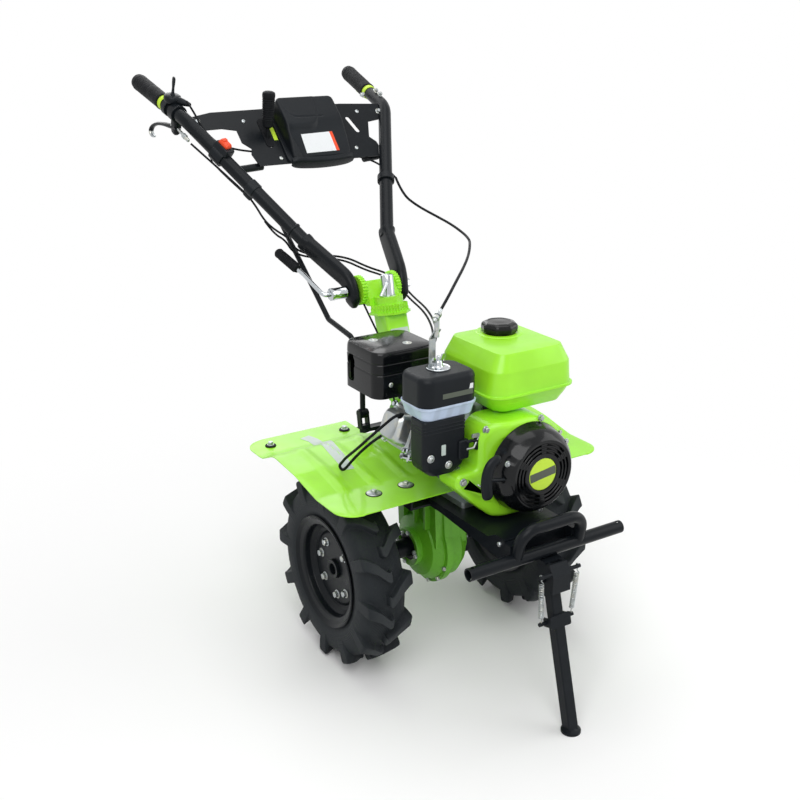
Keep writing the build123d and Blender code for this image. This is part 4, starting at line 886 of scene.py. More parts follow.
@dataclass
class Wheels:
    """Two lugged tyres on pressed rims, with their hubs."""

    half: float = 54.0
    track: float = 231.0
    disc: float = 249.0
    lugs: int = 12
    reach: float = 30.0
    top: float = 207.0
    bolts: tuple[float, ...] = (12, 53, 134, 223, 263, 319)
    bolt_circle: float = 60.0

    def sections(self, count: int = 46) -> tuple[Array, Array]:
        """The tyre's bare section and the section over its lugs, point for point.

        Both are smooth lines through pairs of (across, radius) from the crown to the bead.

        Args:
            count: Points on each half.

        Returns:
            The bare half and the lugged half.
        """
        bare = [
            (0, 190.5), (5, 190.5), (9, 190.4), (20, 189.6), (32, 186.6), (41, 181.5), (45.5, 176),
            (48.6, 169), (50.3, 161), (51, 153), (50.8, 145), (49.4, 137), (46.4, 130), (44.5, 125),
            (43, 119), (41.5, 112), (40.2, 105.4)
        ]
        lugged = [
            (0, 206.2), (5, 206.2), (9, 206), (22, 205), (38, 203), (50, 201), (53.6, 197.5), (54, 187),
            (53.8, 174), (52.8, 161), (51.4, 148), (49.4, 137), (46.4, 130), (44.5, 125), (43, 119),
            (41.5, 112), (40.2, 105.4)
        ]
        return curved(bare, count), curved(lugged, count)

    def tyre_points(self, side: int) -> Array:
        """The tyre as one surface of two parameters.

        The first runs round the tyre in lines that lean as the lugs do, close together at
        their edges; the second runs over the section from bead to bead. A point lies
        between the bare and the lugged section by how far it is inside a lug. Lugs of
        either half stand by turns, and each passes the middle a little.

        Args:
            side: 1 for the operator's left, -1 for the right.

        Returns:
            A grid of points, round by section.
        """
        bare, lugged = self.sections()
        bare = np.concatenate([bare[::-1] * [-1, 1], bare[1:]])
        lugged = np.concatenate([lugged[::-1] * [-1, 1], lugged[1:]])
        offsets = np.array([
            -22.5, -18, -14.6, -12.4, -10.4, -8.6, -5, 0, 5, 8.6, 10.4, 12.4, 14.6, 18, 22.5, 27
        ])
        pitch = 54.0
        index = np.repeat(np.arange(2 * self.lugs), len(offsets))
        local = np.tile(offsets, 2 * self.lugs)
        across = lugged[:, 0]
        flare = 1 + 0.34 * np.clip(np.abs(across) / self.half, 0, 1) ** 1.5
        foot = [-27, -14.6, 14.6, 27]
        wide = np.array([np.interp(local, foot, [-27, -14.6 * f, 14.6 * f, 27]) for f in flare]).T
        bar = np.interp(np.abs(local), [8.6, 10.4, 12.4, 14.6], [1, 0.95, 0.07, 0])
        phase = math.atan2(self.reach, math.sqrt(self.top**2 - self.reach**2))
        lean = np.interp(np.abs(across), [0, 6, 24, 46, 54], [-21, -17, 2, 17, 20])
        turn = -math.pi / 2 - phase + index * math.pi / self.lugs
        angle = turn[:, None] + (wide - lean[None]) * (math.pi / self.lugs / pitch)
        hand = np.where(index % 2 == 1, 1, -1)
        inside = bar[:, None] * smooth(hand[:, None] * across[None], -8.0, -4.4)
        section = bare[None] + inside[..., None] * (lugged - bare)[None]
        x = side * (self.track + section[..., 0])
        return np.stack([x, section[..., 1] * np.cos(angle), section[..., 1] * np.sin(angle)], -1)

    def hub_place(self, side: int) -> Place:
        """The wheel's middle, with z out to its own side."""
        return sideways(side * self.track, 0, 0, side > 0)

    def rim_points(self, side: int, inner: bool) -> Array:
        """One pressed dish of the rim, turned about the axle, its section a sheet along a rounded line."""
        off = self.disc - self.track
        if inner:
            line = [(123, -50.2), (115.5, -44), (102.6, -41), (102.4, off - 22)]
        else:
            line = [
                (123, 50.2), (115.5, 44), (102.6, 41), (102.2, off + 8), (92, off - 2), (83, off - 4),
                (77, off), (22, off)
            ]
        line = rounded(line, [0, 4, 5, 6, 6, 5, 5, 0][: len(line)], 5, closed=False)
        return lathe(sheet_line(line, 2.6), self.hub_place(side), 96)

    def build(self) -> None:
        """Makes both wheels."""
        for side, name in SIDES:
            body = "wheel_" + name
            tyre = Surface().grid(self.tyre_points(side), round_u=True)
            tyre.build(f"tread_tyre_{name}", TYRE, body, "tyre_rubber", [f"tyre_{name}"], 42)
            rim = Surface()
            rim.grid(self.rim_points(side, False), round_u=True)
            rim.grid(self.rim_points(side, True), round_u=True)
            rim.build(f"pressed_rim_{name}", SATIN_RIM, body, "black_paint", [f"rim_{name}"])
            place = self.hub_place(side)
            off = self.disc - self.track
            hub = Surface()
            tube = [
                (12.6, off - 60), (12.6, off + 8.4), (13.4, off + 9), (20.2, off + 9), (20.9, off + 8.2),
                (20.9, off - 5), (24, off - 5.4), (65, off - 5.4), (66, off - 4.4), (66, off - 1.4),
                (21.2, off - 1.4), (20.9, off - 8), (20.9, -169.6), (14, -169.6), (14, -190.6),
                (0.05, -190.6), (0.05, off - 60)
            ]
            hub.grid(lathe(tube, place, 64), round_u=True)
            hub.build(f"turned_hub_{name}", PIANO, body, "black_paint", [f"hub_{name}"])
            nuts = Surface()
            for turn in self.bolts:
                t = math.radians(turn)
                x, y = self.bolt_circle * side * math.cos(t), self.bolt_circle * math.sin(t)
                hex_head(nuts, place.moved(x, y, off + 1.2).turned(turn), 13, 7, 10)
            for turn in (60, 180, 300):
                t = math.radians(turn)
                hex_head(nuts, sideways(side * 66, 32 * math.cos(t), 32 * math.sin(t), side > 0), 10, 6)
            nuts.build(f"wheel_nuts_{name}", ZINC, body, "zinc")


@dataclass
class Fenders:
    """Two pressed mudguards with ribs, their bolts and a blank sticker."""

    inner: float = 65.0
    outer: float = 330.0
    front: float = -185.0
    rear: float = 272.0
    low: float = 211.0
    crest: float = 237.0
    sheet: float = 2.0
    ribs: tuple[float, ...] = (120, 190, 262)

    def line(self) -> Array:
        """The sheet's lower line from front to rear, as (back, rise)."""
        corners = [
            (self.front, self.low), (-72, self.low), (20, self.crest - 8), (118, self.crest),
            (172, self.low + 2), (190, self.low), (self.rear, self.low)
        ]
        return evened(rounded(corners, [0, 60, 120, 60, 14, 14, 0], 8, closed=False), 150)

    def points(self, side: int) -> Array:
        """A fender as one closed surface.

        It runs along the line and round the sheet's section. The section's top stands up
        by the sheet and by ribs whose height eases in and out across and along. The outer
        corners are quarter circles, and on the left the inner edge steps out round the
        engine.

        Args:
            side: 1 for the operator's left, -1 for the right.

        Returns:
            A grid of points, line by section.
        """
        line = self.line()
        ends = np.array([
            self.front + 0.05, self.front + 1.5, self.front + 4, self.front + 9, -66.5, -65.5, -21, -20,
            self.rear - 9, self.rear - 4, self.rear - 1.5, self.rear - 0.05
        ])
        backs = np.unique(np.concatenate([line[:, 0], ends]))
        rises = np.interp(backs, line[:, 0], line[:, 1])
        corner = 45.0
        deep = np.clip(np.maximum(self.front + corner - backs, backs - (self.rear - corner)), 0, corner)
        out = self.outer - corner + np.sqrt(np.maximum(corner**2 - deep**2, 0))
        near = np.full_like(backs, self.inner)
        if side > 0:
            near = np.where(backs < -66, 129.0, np.where(backs < -20.5, 83.0, self.inner))
        across = np.unique(np.concatenate([np.linspace(0, 1, 45), [0.002, 0.006, 0.994, 0.998]]))
        x = near[:, None] + (out - near)[:, None] * across
        fade = smooth(backs, -92, -58) * (1 - smooth(backs, 150, 172))
        rib = sum(1 - smooth(np.abs(x - r), 5.5, 12.5) for r in self.ribs)
        lip = smooth(across, 0.97, 1.0)[None] * 1.2
        slope = np.gradient(rises, backs)[:, None]
        top = rises[:, None] + self.sheet * np.sqrt(1 + slope**2) + 3.6 * rib * fade[:, None] - lip
        low = top - self.sheet * np.sqrt(1 + slope**2)
        ups = np.stack([side * x, np.broadcast_to(backs[:, None], x.shape), top], -1)
        downs = np.stack([side * x, np.broadcast_to(backs[:, None], x.shape), low], -1)
        return np.concatenate([ups, downs[:, ::-1]], 1)

    def over(self, back: Array) -> Array:
        """How high the sheet's top lies at a place along it."""
        line = self.line()
        slope = np.interp(back, line[:, 0], np.gradient(line[:, 1], line[:, 0]))
        return np.interp(back, line[:, 0], line[:, 1]) + self.sheet * np.sqrt(1 + slope**2)

    def sticker(self) -> None:
        """A long blank strip laid over the right fender, its middle a bowed line and its ends cut square."""
        middle = evened(
            curved([(-196, 232), (-188, 200), (-192, 160), (-203, 100), (-210, 45), (-216, -6)], 140), 120
        )
        way = np.gradient(middle, axis=0)
        way /= np.linalg.norm(way, axis=1)[:, None]
        out = np.stack([-way[:, 1], way[:, 0]], -1)
        across = np.linspace(-13, 13, 9)
        flat = middle[:, None] + out[:, None] * across[None, :, None]
        rib = sum(1 - smooth(np.abs(-flat[..., 0] - r), 5.5, 12.5) for r in self.ribs)
        fade = smooth(flat[..., 1], -92, -58) * (1 - smooth(flat[..., 1], 150, 172))
        rise = self.over(flat[..., 1]) + 3.7 * rib * fade
        top = np.concatenate([flat, (rise + 0.6)[..., None]], -1)
        under = top - [0, 0, 0.9]
        grid = np.concatenate([top, under[:, ::-1]], 1)
        Surface().solid(grid).build("fender_sticker", SILVER, "root", "zinc")

    def build(self) -> None:
        """Makes the fenders, their bolts and the sticker."""
        bolts, pads = Surface(), Surface()
        for side, name in SIDES:
            shell = Surface().solid(self.points(side))
            shell.build(f"pressed_fender_{name}", LIME, "root", "green_paint", [f"fender_{name}"])
            for x, back in ((284, 226), (97, 222)):
                place = level(side * x, back, self.low + self.sheet)
                pads.solid(lathe([(11.5, -0.5), (12.5, 0.6), (12.5, 2), (11.5, 3), (5, 3)], place, 24))
                hex_head(bolts, place.moved(z=3), 11, 6, 8)
            for x in (219, 142):
                place = level(side * x, -112, self.low + self.sheet)
                pads.solid(lathe([(17, -0.6), (17.4, 0.4), (16.4, 1.1), (6, 1.1)], place, 32))
                dish = [(15.4, 0.6), (15.6, 1.6), (14.6, 2.4), (11, 3.2), (7.4, 4.2), (5, 4.3)]
                bolts.solid(lathe(dish, place, 32))
                hex_head(bolts, place.moved(z=4), 10, 4.6)
        bolts.build("fender_bolts", ZINC, "root", "zinc")
        pads.build("fender_washers", SOFT, "root", "grip_rubber")
        self.sticker()


def boxed(
    stations: Sequence, place: Place, radii: Union[float, Sequence[float]] = 0.0, steps: int = 6
) -> Array:
    """Rounded rectangles laid one on another.

    Args:
        stations: Rows of height, width along x and y, corner radius, and the middle's shift along x and y.
        place: Where they lie, with z along the height.
        radii: How far the line from station to station is rounded at each.
        steps: Pieces in each corner's arc.

    Returns:
        A grid of points, station by outline.
    """
    table = np.array([tuple(row) + (0.0,) * (6 - len(row)) for row in stations])
    if np.any(np.asarray(radii) > 0):
        table = rounded(table, radii, 5, closed=False)
    rows = []
    for height, wide, long, radius, x, y in table:
        flat = oblong(wide, long, radius, steps) + [x, y]
        rows.append(np.c_[flat, np.full(len(flat), height)])
    return place.at(np.stack(rows))


def arc(x: float, y: float, radius: float, start: float, end: float, count: int = 12) -> Array:
    """Points of an arc about (x, y) between two angles in degrees."""
    t = np.radians(np.linspace(start, end, count))
    return np.stack([x + radius * np.cos(t), y + radius * np.sin(t)], -1)


def drawn_in(outline: Array) -> Callable[[float], Array]:
    """A function that moves a closed outline inwards, along the normals of its points."""
    way = np.roll(outline, -1, 0) - np.roll(outline, 1, 0)
    way /= np.linalg.norm(way, axis=1)[:, None]
    inwards = np.stack([-way[:, 1], way[:, 0]], -1)
    return lambda inset: outline + inwards * inset


def rod(
    points: Sequence, radius: float, radii: Union[float, Sequence[float]] = 0.0, sides: int = 14
) -> Array:
    """A round bar along rounded runs, its ends drawn in as small domes."""
    line = rounded(points, radii, 7, closed=False) if len(points) > 2 else np.asarray(points, float)
    ends = [line[0] + unit(line[1] - line[0]) * k * radius for k in (0, 0.12)]
    tips = [line[-1] + unit(line[-2] - line[-1]) * k * radius for k in (0.12, 0)]
    line = np.vstack([ends, line[1:-1], tips])
    size = np.full(len(line), float(radius))
    size[[0, -1]] *= 0.88
    profile = circle(1, sides)[None] * size[:, None, None]
    return sweep(line, profile, vec(0.123, 0.2, 1))


@dataclass
class Engine:
    """The engine's cowl, starter, tank, cleaner, carburettor, muffler guard and small fittings."""

    crank_x: float = 35.0
    crank_up: float = 278.0
    fan_room: float = 102.0
    leans_back: float = 24.0
    cowl_back: float = -198.0
    cowl_front: float = -284.0
    recoil_deep: float = 50.0

    def cowl(self) -> None:
        """The pressed cowl: an arc round the fan and a tab over the barrel, its left front leaning back."""
        left = rounded(
            [(35, 380), (-66, 380), (-66, 281), (-118, 281), (-118, 252), (-39, 178), (35, 176)],
            [0, 40, 14, 13, 13, 24, 0], 8, closed=False
        )
        right = arc(self.crank_x, self.crank_up, self.fan_room, -90, 90, 40)[1:-1]
        outline = evened(np.concatenate([left, right, left[:1]]), 241)[:-1]
        wall = crown(0, self.cowl_back - self.cowl_front, 0.1, 12, 7)
        points = stacked(drawn_in(outline), wall, facing(0, self.cowl_back, 0))
        lean = smooth(-points[..., 0], 8, 74) * smooth(-points[..., 1], 225, 284)
        points[..., 1] += self.leans_back * lean
        inner = stacked(
            drawn_in(outline), [(wall[-1][0], 14), (wall[-1][0] + 0.01, 30)], facing(0, self.cowl_back, 0)
        )
        inner[..., 1] += self.leans_back * smooth(-inner[..., 0], 8, 74)
        made = Surface()
        made.solid(np.concatenate([points, inner]))
        made.build("pressed_fan_cowl", LIME, "root", "green_paint", ["fan_shroud"])
        screws = Surface()
        for x, rise in ((-52, 366), (-104, 266)):
            hex_head(screws, facing(x, self.cowl_front + self.leans_back, rise), 10, 5, 8)
        for turn in (-25, 35):
            t = math.radians(turn)
            x, rise = self.crank_x + 98 * math.cos(t), self.crank_up + 98 * math.sin(t)
            hex_head(screws, facing(x, self.cowl_front - 0.2, rise), 8, 4)
        hex_head(screws, facing(66, self.cowl_front + 2, 374), 9, 5, 7)
        screws.build("cowl_bolts", ZINC, "root", "zinc")

    def recoil(self) -> None:
        """The starter's cover: a profile turned about the crank, its arcs and slots pressed in by a mask."""
        fine = [-30, -27, -24.5, -23.4, -22.4, -18, -12, -6, 0, 6, 12, 18, 22.4, 23.4, 24.5, 27]
        t = np.radians(np.concatenate([np.array(fine) + 60 * k for k in range(6)]))
        ring = [(0.02, 48), (20, 48), (33.6, 48), (34.2, 49.6), (35.6, 50), (41, 50)]
        for r in (46, 54, 62):
            ring += [
                (r - 2.7, 50), (r - 2.2, 49.2), (r - 2.0, 43), (r + 2.0, 43), (r + 2.2, 49.2), (r + 2.7, 50)
            ]
        ring += [
            (66.5, 50), (69, 50.6), (71, 50.5), (73, 49), (76, 45.6), (80, 40.8), (84.5, 34.4), (87, 29),
            (88.6, 23), (90, 15), (92, 7), (93.4, 2.2), (93.9, 0.4)
        ]
        table = np.array(ring)
        inside = (1 - smooth(np.abs((np.degrees(t) + 30) % 60 - 30), 22.6, 23.3))[None]
        depth = np.where(table[:, 1] < 44.0, 1, 0)[:, None] * np.where(table[:, 0] < 70, 1, 0)[:, None]
        tall = np.broadcast_to(table[:, 1:], (len(table), len(t)))
        height = np.where(depth > 0, self.recoil_deep - 7 * inside, tall)
        side = table[:, :1] * np.ones_like(height)
        turn = np.degrees(t)[None]
        slots = (np.cos(np.radians(turn) * 24) > 0.2) & (turn > 110) & (turn < 260)
        vents = (smooth(side, 77, 79) - smooth(side, 86, 88)) * slots
        height = height - 3.5 * vents
        flat = np.stack([side * np.cos(t), side * np.sin(t), height], -1)
        place = facing(self.crank_x, self.cowl_front - 0.3, self.crank_up)
        Surface().solid(place.at(flat)).build(
            "recoil_housing", SMOOTH, "root", "gloss_black", ["recoil_cover"], 30
        )
        face = place.moved(z=48.2)
        disc = lathe([(33.2, -0.6), (33.4, 0.5), (32.8, 1.0), (20, 1.15), (0.02, 1.2)], face, 64)
        Surface().solid(disc).build("recoil_badge", ACID, "root", "yellow_green")
        s, v = np.meshgrid(np.linspace(-1, 1, 33), np.linspace(-1, 1, 5), indexing="ij")
        half = 9
        reach = np.sqrt(32.2**2 - (v * half) ** 2)
        band = np.stack([s * reach, v * half, 1.15 + 0.35 * (1 - np.abs(v) ** 6)], -1)
        under = band * [1, 1, 0] + [0, 0, 0.8]
        strip = face.turned(8).at(np.concatenate([band, under[:, ::-1]], 1))
        Surface().solid(strip).build("badge_band", GREY, "root", "black_plastic")
        screws = Surface()
        for degrees in (36, 156, 276):
            a = math.radians(degrees)
            hex_head(screws, place.moved(84 * math.cos(a), 84 * math.sin(a), 34), 7, 3.4, 6.5)
        screws.build("recoil_screws", ZINC, "root", "zinc")

    def pull(self) -> None:
        """The curved pull handle and its rope: ovals carried along a bowed line."""
        back = self.cowl_front - self.recoil_deep + 13
        path = (
            (-60, 329), (-72, 328), (-84, 320), (-91, 305), (-93.5, 287), (-92, 269), (-89.5, 256),
            (-88.5, 251)
        )
        line = curved([(x, back, rise) for x, rise in path], 44)
        s = np.linspace(0, 1, len(line))
        wide = np.interp(s, [0, 0.03, 0.09, 0.3, 0.6, 0.85, 0.96, 1], [2, 6, 9, 11.5, 12, 11.4, 9, 2.5])
        thick = np.interp(s, [0, 0.03, 0.09, 0.5, 0.85, 0.96, 1], [2, 5, 7.4, 8.8, 9, 7, 2])
        profile = circle(1, 22)[None] * np.stack([thick, wide], -1)[:, None]
        made = Surface().solid(sweep(line, profile, vec(0, 1, 0)))
        made.solid(rod([(-88, back, 290), (-70, back, 286), (-50, back + 1, 282)], 4, 10))
        made.build("pull_handle", MOULDED, "root", "black_plastic", ["starter_grip"])

    def tank(self) -> None:
        """The fuel tank: rounded squares from its foot over the seam's lip to a bevelled top."""
        place = level(71.5, -157.5, 0)
        lower = [(386.2, 150, 160, 20), (386.2, 163, 175, 26), (404, 186, 192, 30)]
        lower += [(419.6, 203, 203, 32), (420, 215, 215, 38)]
        upper = [(423, 215, 215, 38), (423.4, 205, 205, 34), (470, 197, 199, 30)]
        upper += [(505, 159, 175, 20), (505, 110, 120, 14)]
        foot = boxed(lower, place, [0, 9, 40, 3, 0], 7)
        top = boxed(upper, place, [0, 3, 7, 6, 0], 7)
        Surface().solid(np.concatenate([foot, top])).build(
            "pressed_fuel_tank", LIME, "root", "green_paint", ["fuel_tank"], 50
        )
        cap = level(87, -112, 505)
        t = np.arange(96) * TAU / 96
        lobe = 1 + 0.034 * np.cos(8 * t) + 0.005 * np.cos(16 * t)
        ring = [(26, -1, 0), (33.6, -1, 0), (34.4, 1.2, 0.2), (34.8, 3, 0.6), (36.6, 5, 1), (37, 10, 1)]
        ring += [(36.8, 15, 1), (35.6, 18.6, 1), (32.4, 21, 0.9), (28.4, 22.6, 0.5), (26, 23.2, 0.1)]
        ring += [(24.4, 22.4, 0), (23, 22.2, 0), (12, 23.2, 0), (0.05, 23.5, 0)]
        table = np.array(ring)
        r = table[:, :1] * (1 + (lobe - 1)[None] * table[:, 2:])
        flat = np.stack([r * np.cos(t), r * np.sin(t), np.broadcast_to(table[:, 1:2], r.shape)], -1)
        Surface().solid(cap.at(flat)).build("tank_cap", SMOOTH, "root", "black_plastic", ["fuel_cap"])
        neck = [(50, -0.3), (49, 0.5), (44, 1.3), (40, 1.5), (37.5, 1.2), (37.2, -0.5)]
        Surface().grid(lathe(neck, cap, 64), round_u=True).build("tank_neck", LIME, "root", "green_paint")

    def cleaner(self) -> None:
        """The air cleaner's milky bowl, its cover's blank labels, and the washer with its wing nut."""
        place = level(-126.5, -203, 0)
        bowl = [
            (401, 90, 60, 14), (401, 114, 80, 15), (412, 119, 85, 16), (422, 125, 90, 17),
            (424, 128.6, 93.6, 18)
        ]
        bowl += [(429, 129.4, 94.4, 18), (429, 90, 60, 20)]
        dish = Surface().solid(boxed(bowl, place, [0, 6, 10, 2, 1, 0.5, 0], 8))
        dish.build("cleaner_bowl", BOWL, "root", "clear_bowl", ["air_cleaner_bowl"])
        x = np.linspace(-148, -78, 18)
        labels = (
            ("cleaner_label", 455, 465, WHITE, "aluminium"),
            ("cleaner_label_foot", 444, 454.4, GREY, "black_plastic"),
        )
        for name, low, high, finish, slot in labels:
            rise, across = np.meshgrid(np.linspace(low, high, 3), x)
            front = np.stack([across, np.interp(rise, [434, 474], [-250.05, -249.35]), rise], -1)
            sheet = np.concatenate([front - [0, 0.3, 0], (front + [0, 0.4, 0])[:, ::-1]], 1)
            Surface().solid(sheet).build(name, finish, "root", slot)
        top = level(-124, -198, 488)
        nut = Surface()
        washer = [(23.4, -0.2), (24, 1.6), (22.6, 2.8), (17, 1.4), (11.5, 2.8), (9.4, 4.6), (8.6, 7.5)]
        hub = [(7.6, 13.5), (6.4, 15.4), (4.2, 15.8), (3.6, 15.9), (3.5, 24), (2.8, 25), (0.05, 25)]
        nut.solid(lathe(washer + hub, top, 40))
        for side in (-1, 1):
            flat = [(5, 6), (8, 17), (14, 25), (20, 25.5), (19.5, 16), (10, 6.5)]
            wing = rounded([(side * x, y) for x, y in flat], [2, 6, 4, 3.5, 8, 3], 5)
            rows = [np.c_[wing[:, 0], np.full(len(wing), y), wing[:, 1]] for y in (-1.6, 1.6)]
            nut.solid(top.turned(24).at(np.stack(rows)))
        nut.build("wing_nut", BRIGHT, "root", "chrome", ["cleaner_nut"])

    def carburettor(self) -> None:
        """The carburettor's grooved cover with its screws, choke levers, fuel tap and blank plate."""
        place = level(-138, -220, 0)
        body = [
            (284, 46, 36, 12), (285, 58, 44, 14), (300, 94, 50.5, 12), (312, 99, 51.8, 10), (360, 99, 51.8, 9)
        ]
        for k in range(3):
            z = 375 + 7 * k
            body += [
                (z - 1.4, 98.6, 51.6, 9), (z - 0.6, 100.6, 52.6, 9), (z + 0.6, 100.6, 52.6, 9),
                (z + 1.4, 98.6, 51.6, 9)
            ]
        body += [(398, 98.6, 51.6, 9), (401, 96, 50, 9), (401, 60, 30, 8)]
        radii = [0, 4, 12, 12] + [0.4] * (len(body) - 5) + [0]
        hood = Surface().solid(boxed(body, place, radii, 6))
        hood.build("carburettor_hood", MOULDED, "root", "black_plastic", ["carburettor_cover"])
        metal, dark = Surface(), Surface()
        for x, rise in ((-172, 326), (-130, 305)):
            face = facing(x, -246, rise)
            metal.solid(lathe([(8.2, -1), (8.2, 1.4), (7.2, 2.4), (5.6, 2.4)], face, 20))
            round_head(metal, face.moved(z=2.2), 5.2, 3.2)
        mouth = [(-1, 24, 40, 4), (8, 24, 40, 4), (10, 20, 36, 4)]
        dark.solid(boxed(mouth, facing(-96, -241, 330), [0, 1.5, 0], 3))
        dark.solid(rod([(-92, -250, 345), (-80, -252, 346), (-66, -252, 344)], 3.4, 6))
        dark.solid(boxed([(0, 9, 26, 3), (5, 9, 26, 3)], facing(-68, -249, 338), 0, 3))
        metal.solid(rod([(-92, -252, 331), (-76, -254, 331), (-64, -252, 352), (-60, -251, 352)], 2.2, 5))
        metal.solid(boxed([(0, 18, 8, 2), (3, 18, 8, 2)], facing(-72, -252, 356), 0, 3))
        metal.solid(lathe([(9, -2), (9, 6), (7.5, 10), (7.5, 16), (5, 18)], level(-98, -214, 266), 20))
        metal.solid(boxed([(0, 30, 18, 3), (3, 30, 18, 3)], level(-104, -222, 280), 0, 3))
        metal.solid(rod([(-96, -226, 272), (-84, -240, 262), (-66, -262, 250), (-50, -270, 240)], 2.6, 9))
        metal.build("carburettor_fittings", ZINC, "root", "zinc", ["choke_levers"])
        dark.build("choke_bracket", MOULDED, "root", "black_plastic")
        plate = Surface().solid(
            boxed([(0, 10, 22, 1.5), (0.5, 10, 22, 1.5)], facing(-142, -246.0, 338), 0, 3)
        )
        plate.build("carburettor_plate", SILVER, "root", "zinc")

    def head(self) -> None:
        """The valve cover's dome and flange bolts, and the boots at both ends of the plug lead."""
        tilt = math.radians(20)
        out = vec(-math.cos(tilt), 0, math.sin(tilt))
        upward = vec(math.sin(tilt), 0, math.cos(tilt))
        place = Place(vec(35, -124, 278) + out * 205, vec(0, 1, 0), upward, out)
        cover = [
            (0.2, 70, 66, 12), (0.2, 86, 82, 14), (3, 86.4, 82.4, 14), (5.5, 84, 80, 14), (6.2, 72, 68, 14),
            (27, 66, 62, 14), (34.6, 54, 50, 14), (35, 20, 20, 6)
        ]
        dome = Surface().solid(boxed(cover, place, [0, 0.6, 1.6, 1.4, 3, 8, 9, 0], 6))
        dome.build("valve_dome", ZINC, "root", "zinc", ["valve_cover"])
        bolts = Surface()
        for y in (-37, 37):
            for x in (-38, 38):
                hex_head(bolts, place.moved(x, y, 4.5), 9, 6, 7.5)
        bolts.solid(lathe([(12, -2), (12, 10), (8, 12), (6, 22)], place.moved(-26, -52, -20), 16))
        bolts.build("head_bolts", BRIGHT, "root", "chrome")
        boot = [(4, -3), (7.5, -1), (8, 20), (6.6, 30), (4.4, 34), (4, 40)]
        made = Surface().solid(lathe(boot, along(vec(-156, -121, 352), vec(-184, -104, 337)), 16))
        foot = [(3.4, -4), (6.2, -2), (6.2, 8), (4.2, 14), (3.6, 16)]
        made.solid(lathe(foot, along(vec(-170, -144, 380), vec(-190, -149, 388)), 16))
        made.build("plug_boots", SOFT, "root", "grip_rubber")

    def guard(self) -> None:
        """The muffler's guard: a shell of rounded rectangles with two pressed lines and a long hole."""
        place = level(-127, -27, 0)
        outer = [(402, 146, 134, 24)]
        for rise in (452, 474):
            outer += [
                (rise - 2.4, 146, 134, 24), (rise - 1, 143.4, 131.4, 22.6), (rise + 1, 143.4, 131.4, 22.6)
            ]
            outer += [(rise + 2.4, 145.6, 133.6, 24)]
        outer += [(498, 144, 132, 24), (498, 40, 30, 10)]
        skin = boxed(outer, place, [0] + [0.8] * 8 + [17, 0], 8)
        inner = boxed([(495, 40, 30, 10), (495, 138, 126, 20), (402, 142, 130, 22)], place, [0, 14, 0], 8)
        made = Surface().solid(np.concatenate([inner, skin]))
        shell = made.build("muffler_shell", SMOOTH, "root", "black_paint", ["muffler_guard"], 50)
        hole = rounded(
            [(-6, 418), (-6, 446), (-9, 462), (-2, 474), (14, 474), (21, 462), (18, 446), (18, 418)], 8, 5
        )
        ends = np.stack([np.c_[hole, np.full(len(hole), z)] for z in (0.0, 40.0)])
        cutter = Surface().solid(sideways(-215, 0, 0).at(ends))
        self.cut(shell, cutter)
        screws = Surface()
        for x, back in ((-152, -3), (-103, -55)):
            screws.solid(lathe([(10, -0.5), (9.6, 0.5), (5, 0.6)], level(x, back, 498), 24))
            round_head(screws, level(x, back, 498.4), 5, 3)
        round_head(screws, facing(-166, -94.0, 430), 5.5, 3)
        screws.build("guard_screws", ZINC, "root", "zinc")

    def cut(self, piece: bpy.types.Object, cutter: Surface) -> None:
        """Takes a closed form out of a piece, so that the mesh keeps a real hole.

        Args:
            piece: The piece, whose mesh is changed.
            cutter: The form to take out.
        """
        mesh = bpy.data.meshes.new("cutter")
        mesh.from_pydata(metres(np.concatenate(cutter.points)).tolist(), [], cutter.faces)
        work = bmesh.new()
        work.from_mesh(mesh)
        bmesh.ops.recalc_face_normals(work, faces=work.faces)
        work.to_mesh(mesh)
        work.free()
        tool = bpy.data.objects.new("cutter", mesh)
        bpy.context.scene.collection.objects.link(tool)
        change = piece.modifiers.new("cut", "BOOLEAN")
        change.operation, change.solver, change.object = "DIFFERENCE", "EXACT", tool
        bpy.context.view_layer.update()
        seen = piece.evaluated_get(bpy.context.evaluated_depsgraph_get())
        made = bpy.data.meshes.new_from_object(seen)
        piece.modifiers.clear()
        old, piece.data = piece.data, made
        made.name = piece.name
        bpy.data.meshes.remove(old)
        bpy.data.objects.remove(tool)
        bpy.data.meshes.remove(mesh)
        made.set_sharp_from_angle(angle=math.radians(50))

    def build(self) -> None:
        """Makes the engine's pieces."""
        self.cowl()
        self.recoil()
        self.pull()
        self.tank()
        self.cleaner()
        self.carburettor()
        self.head()
        self.guard()


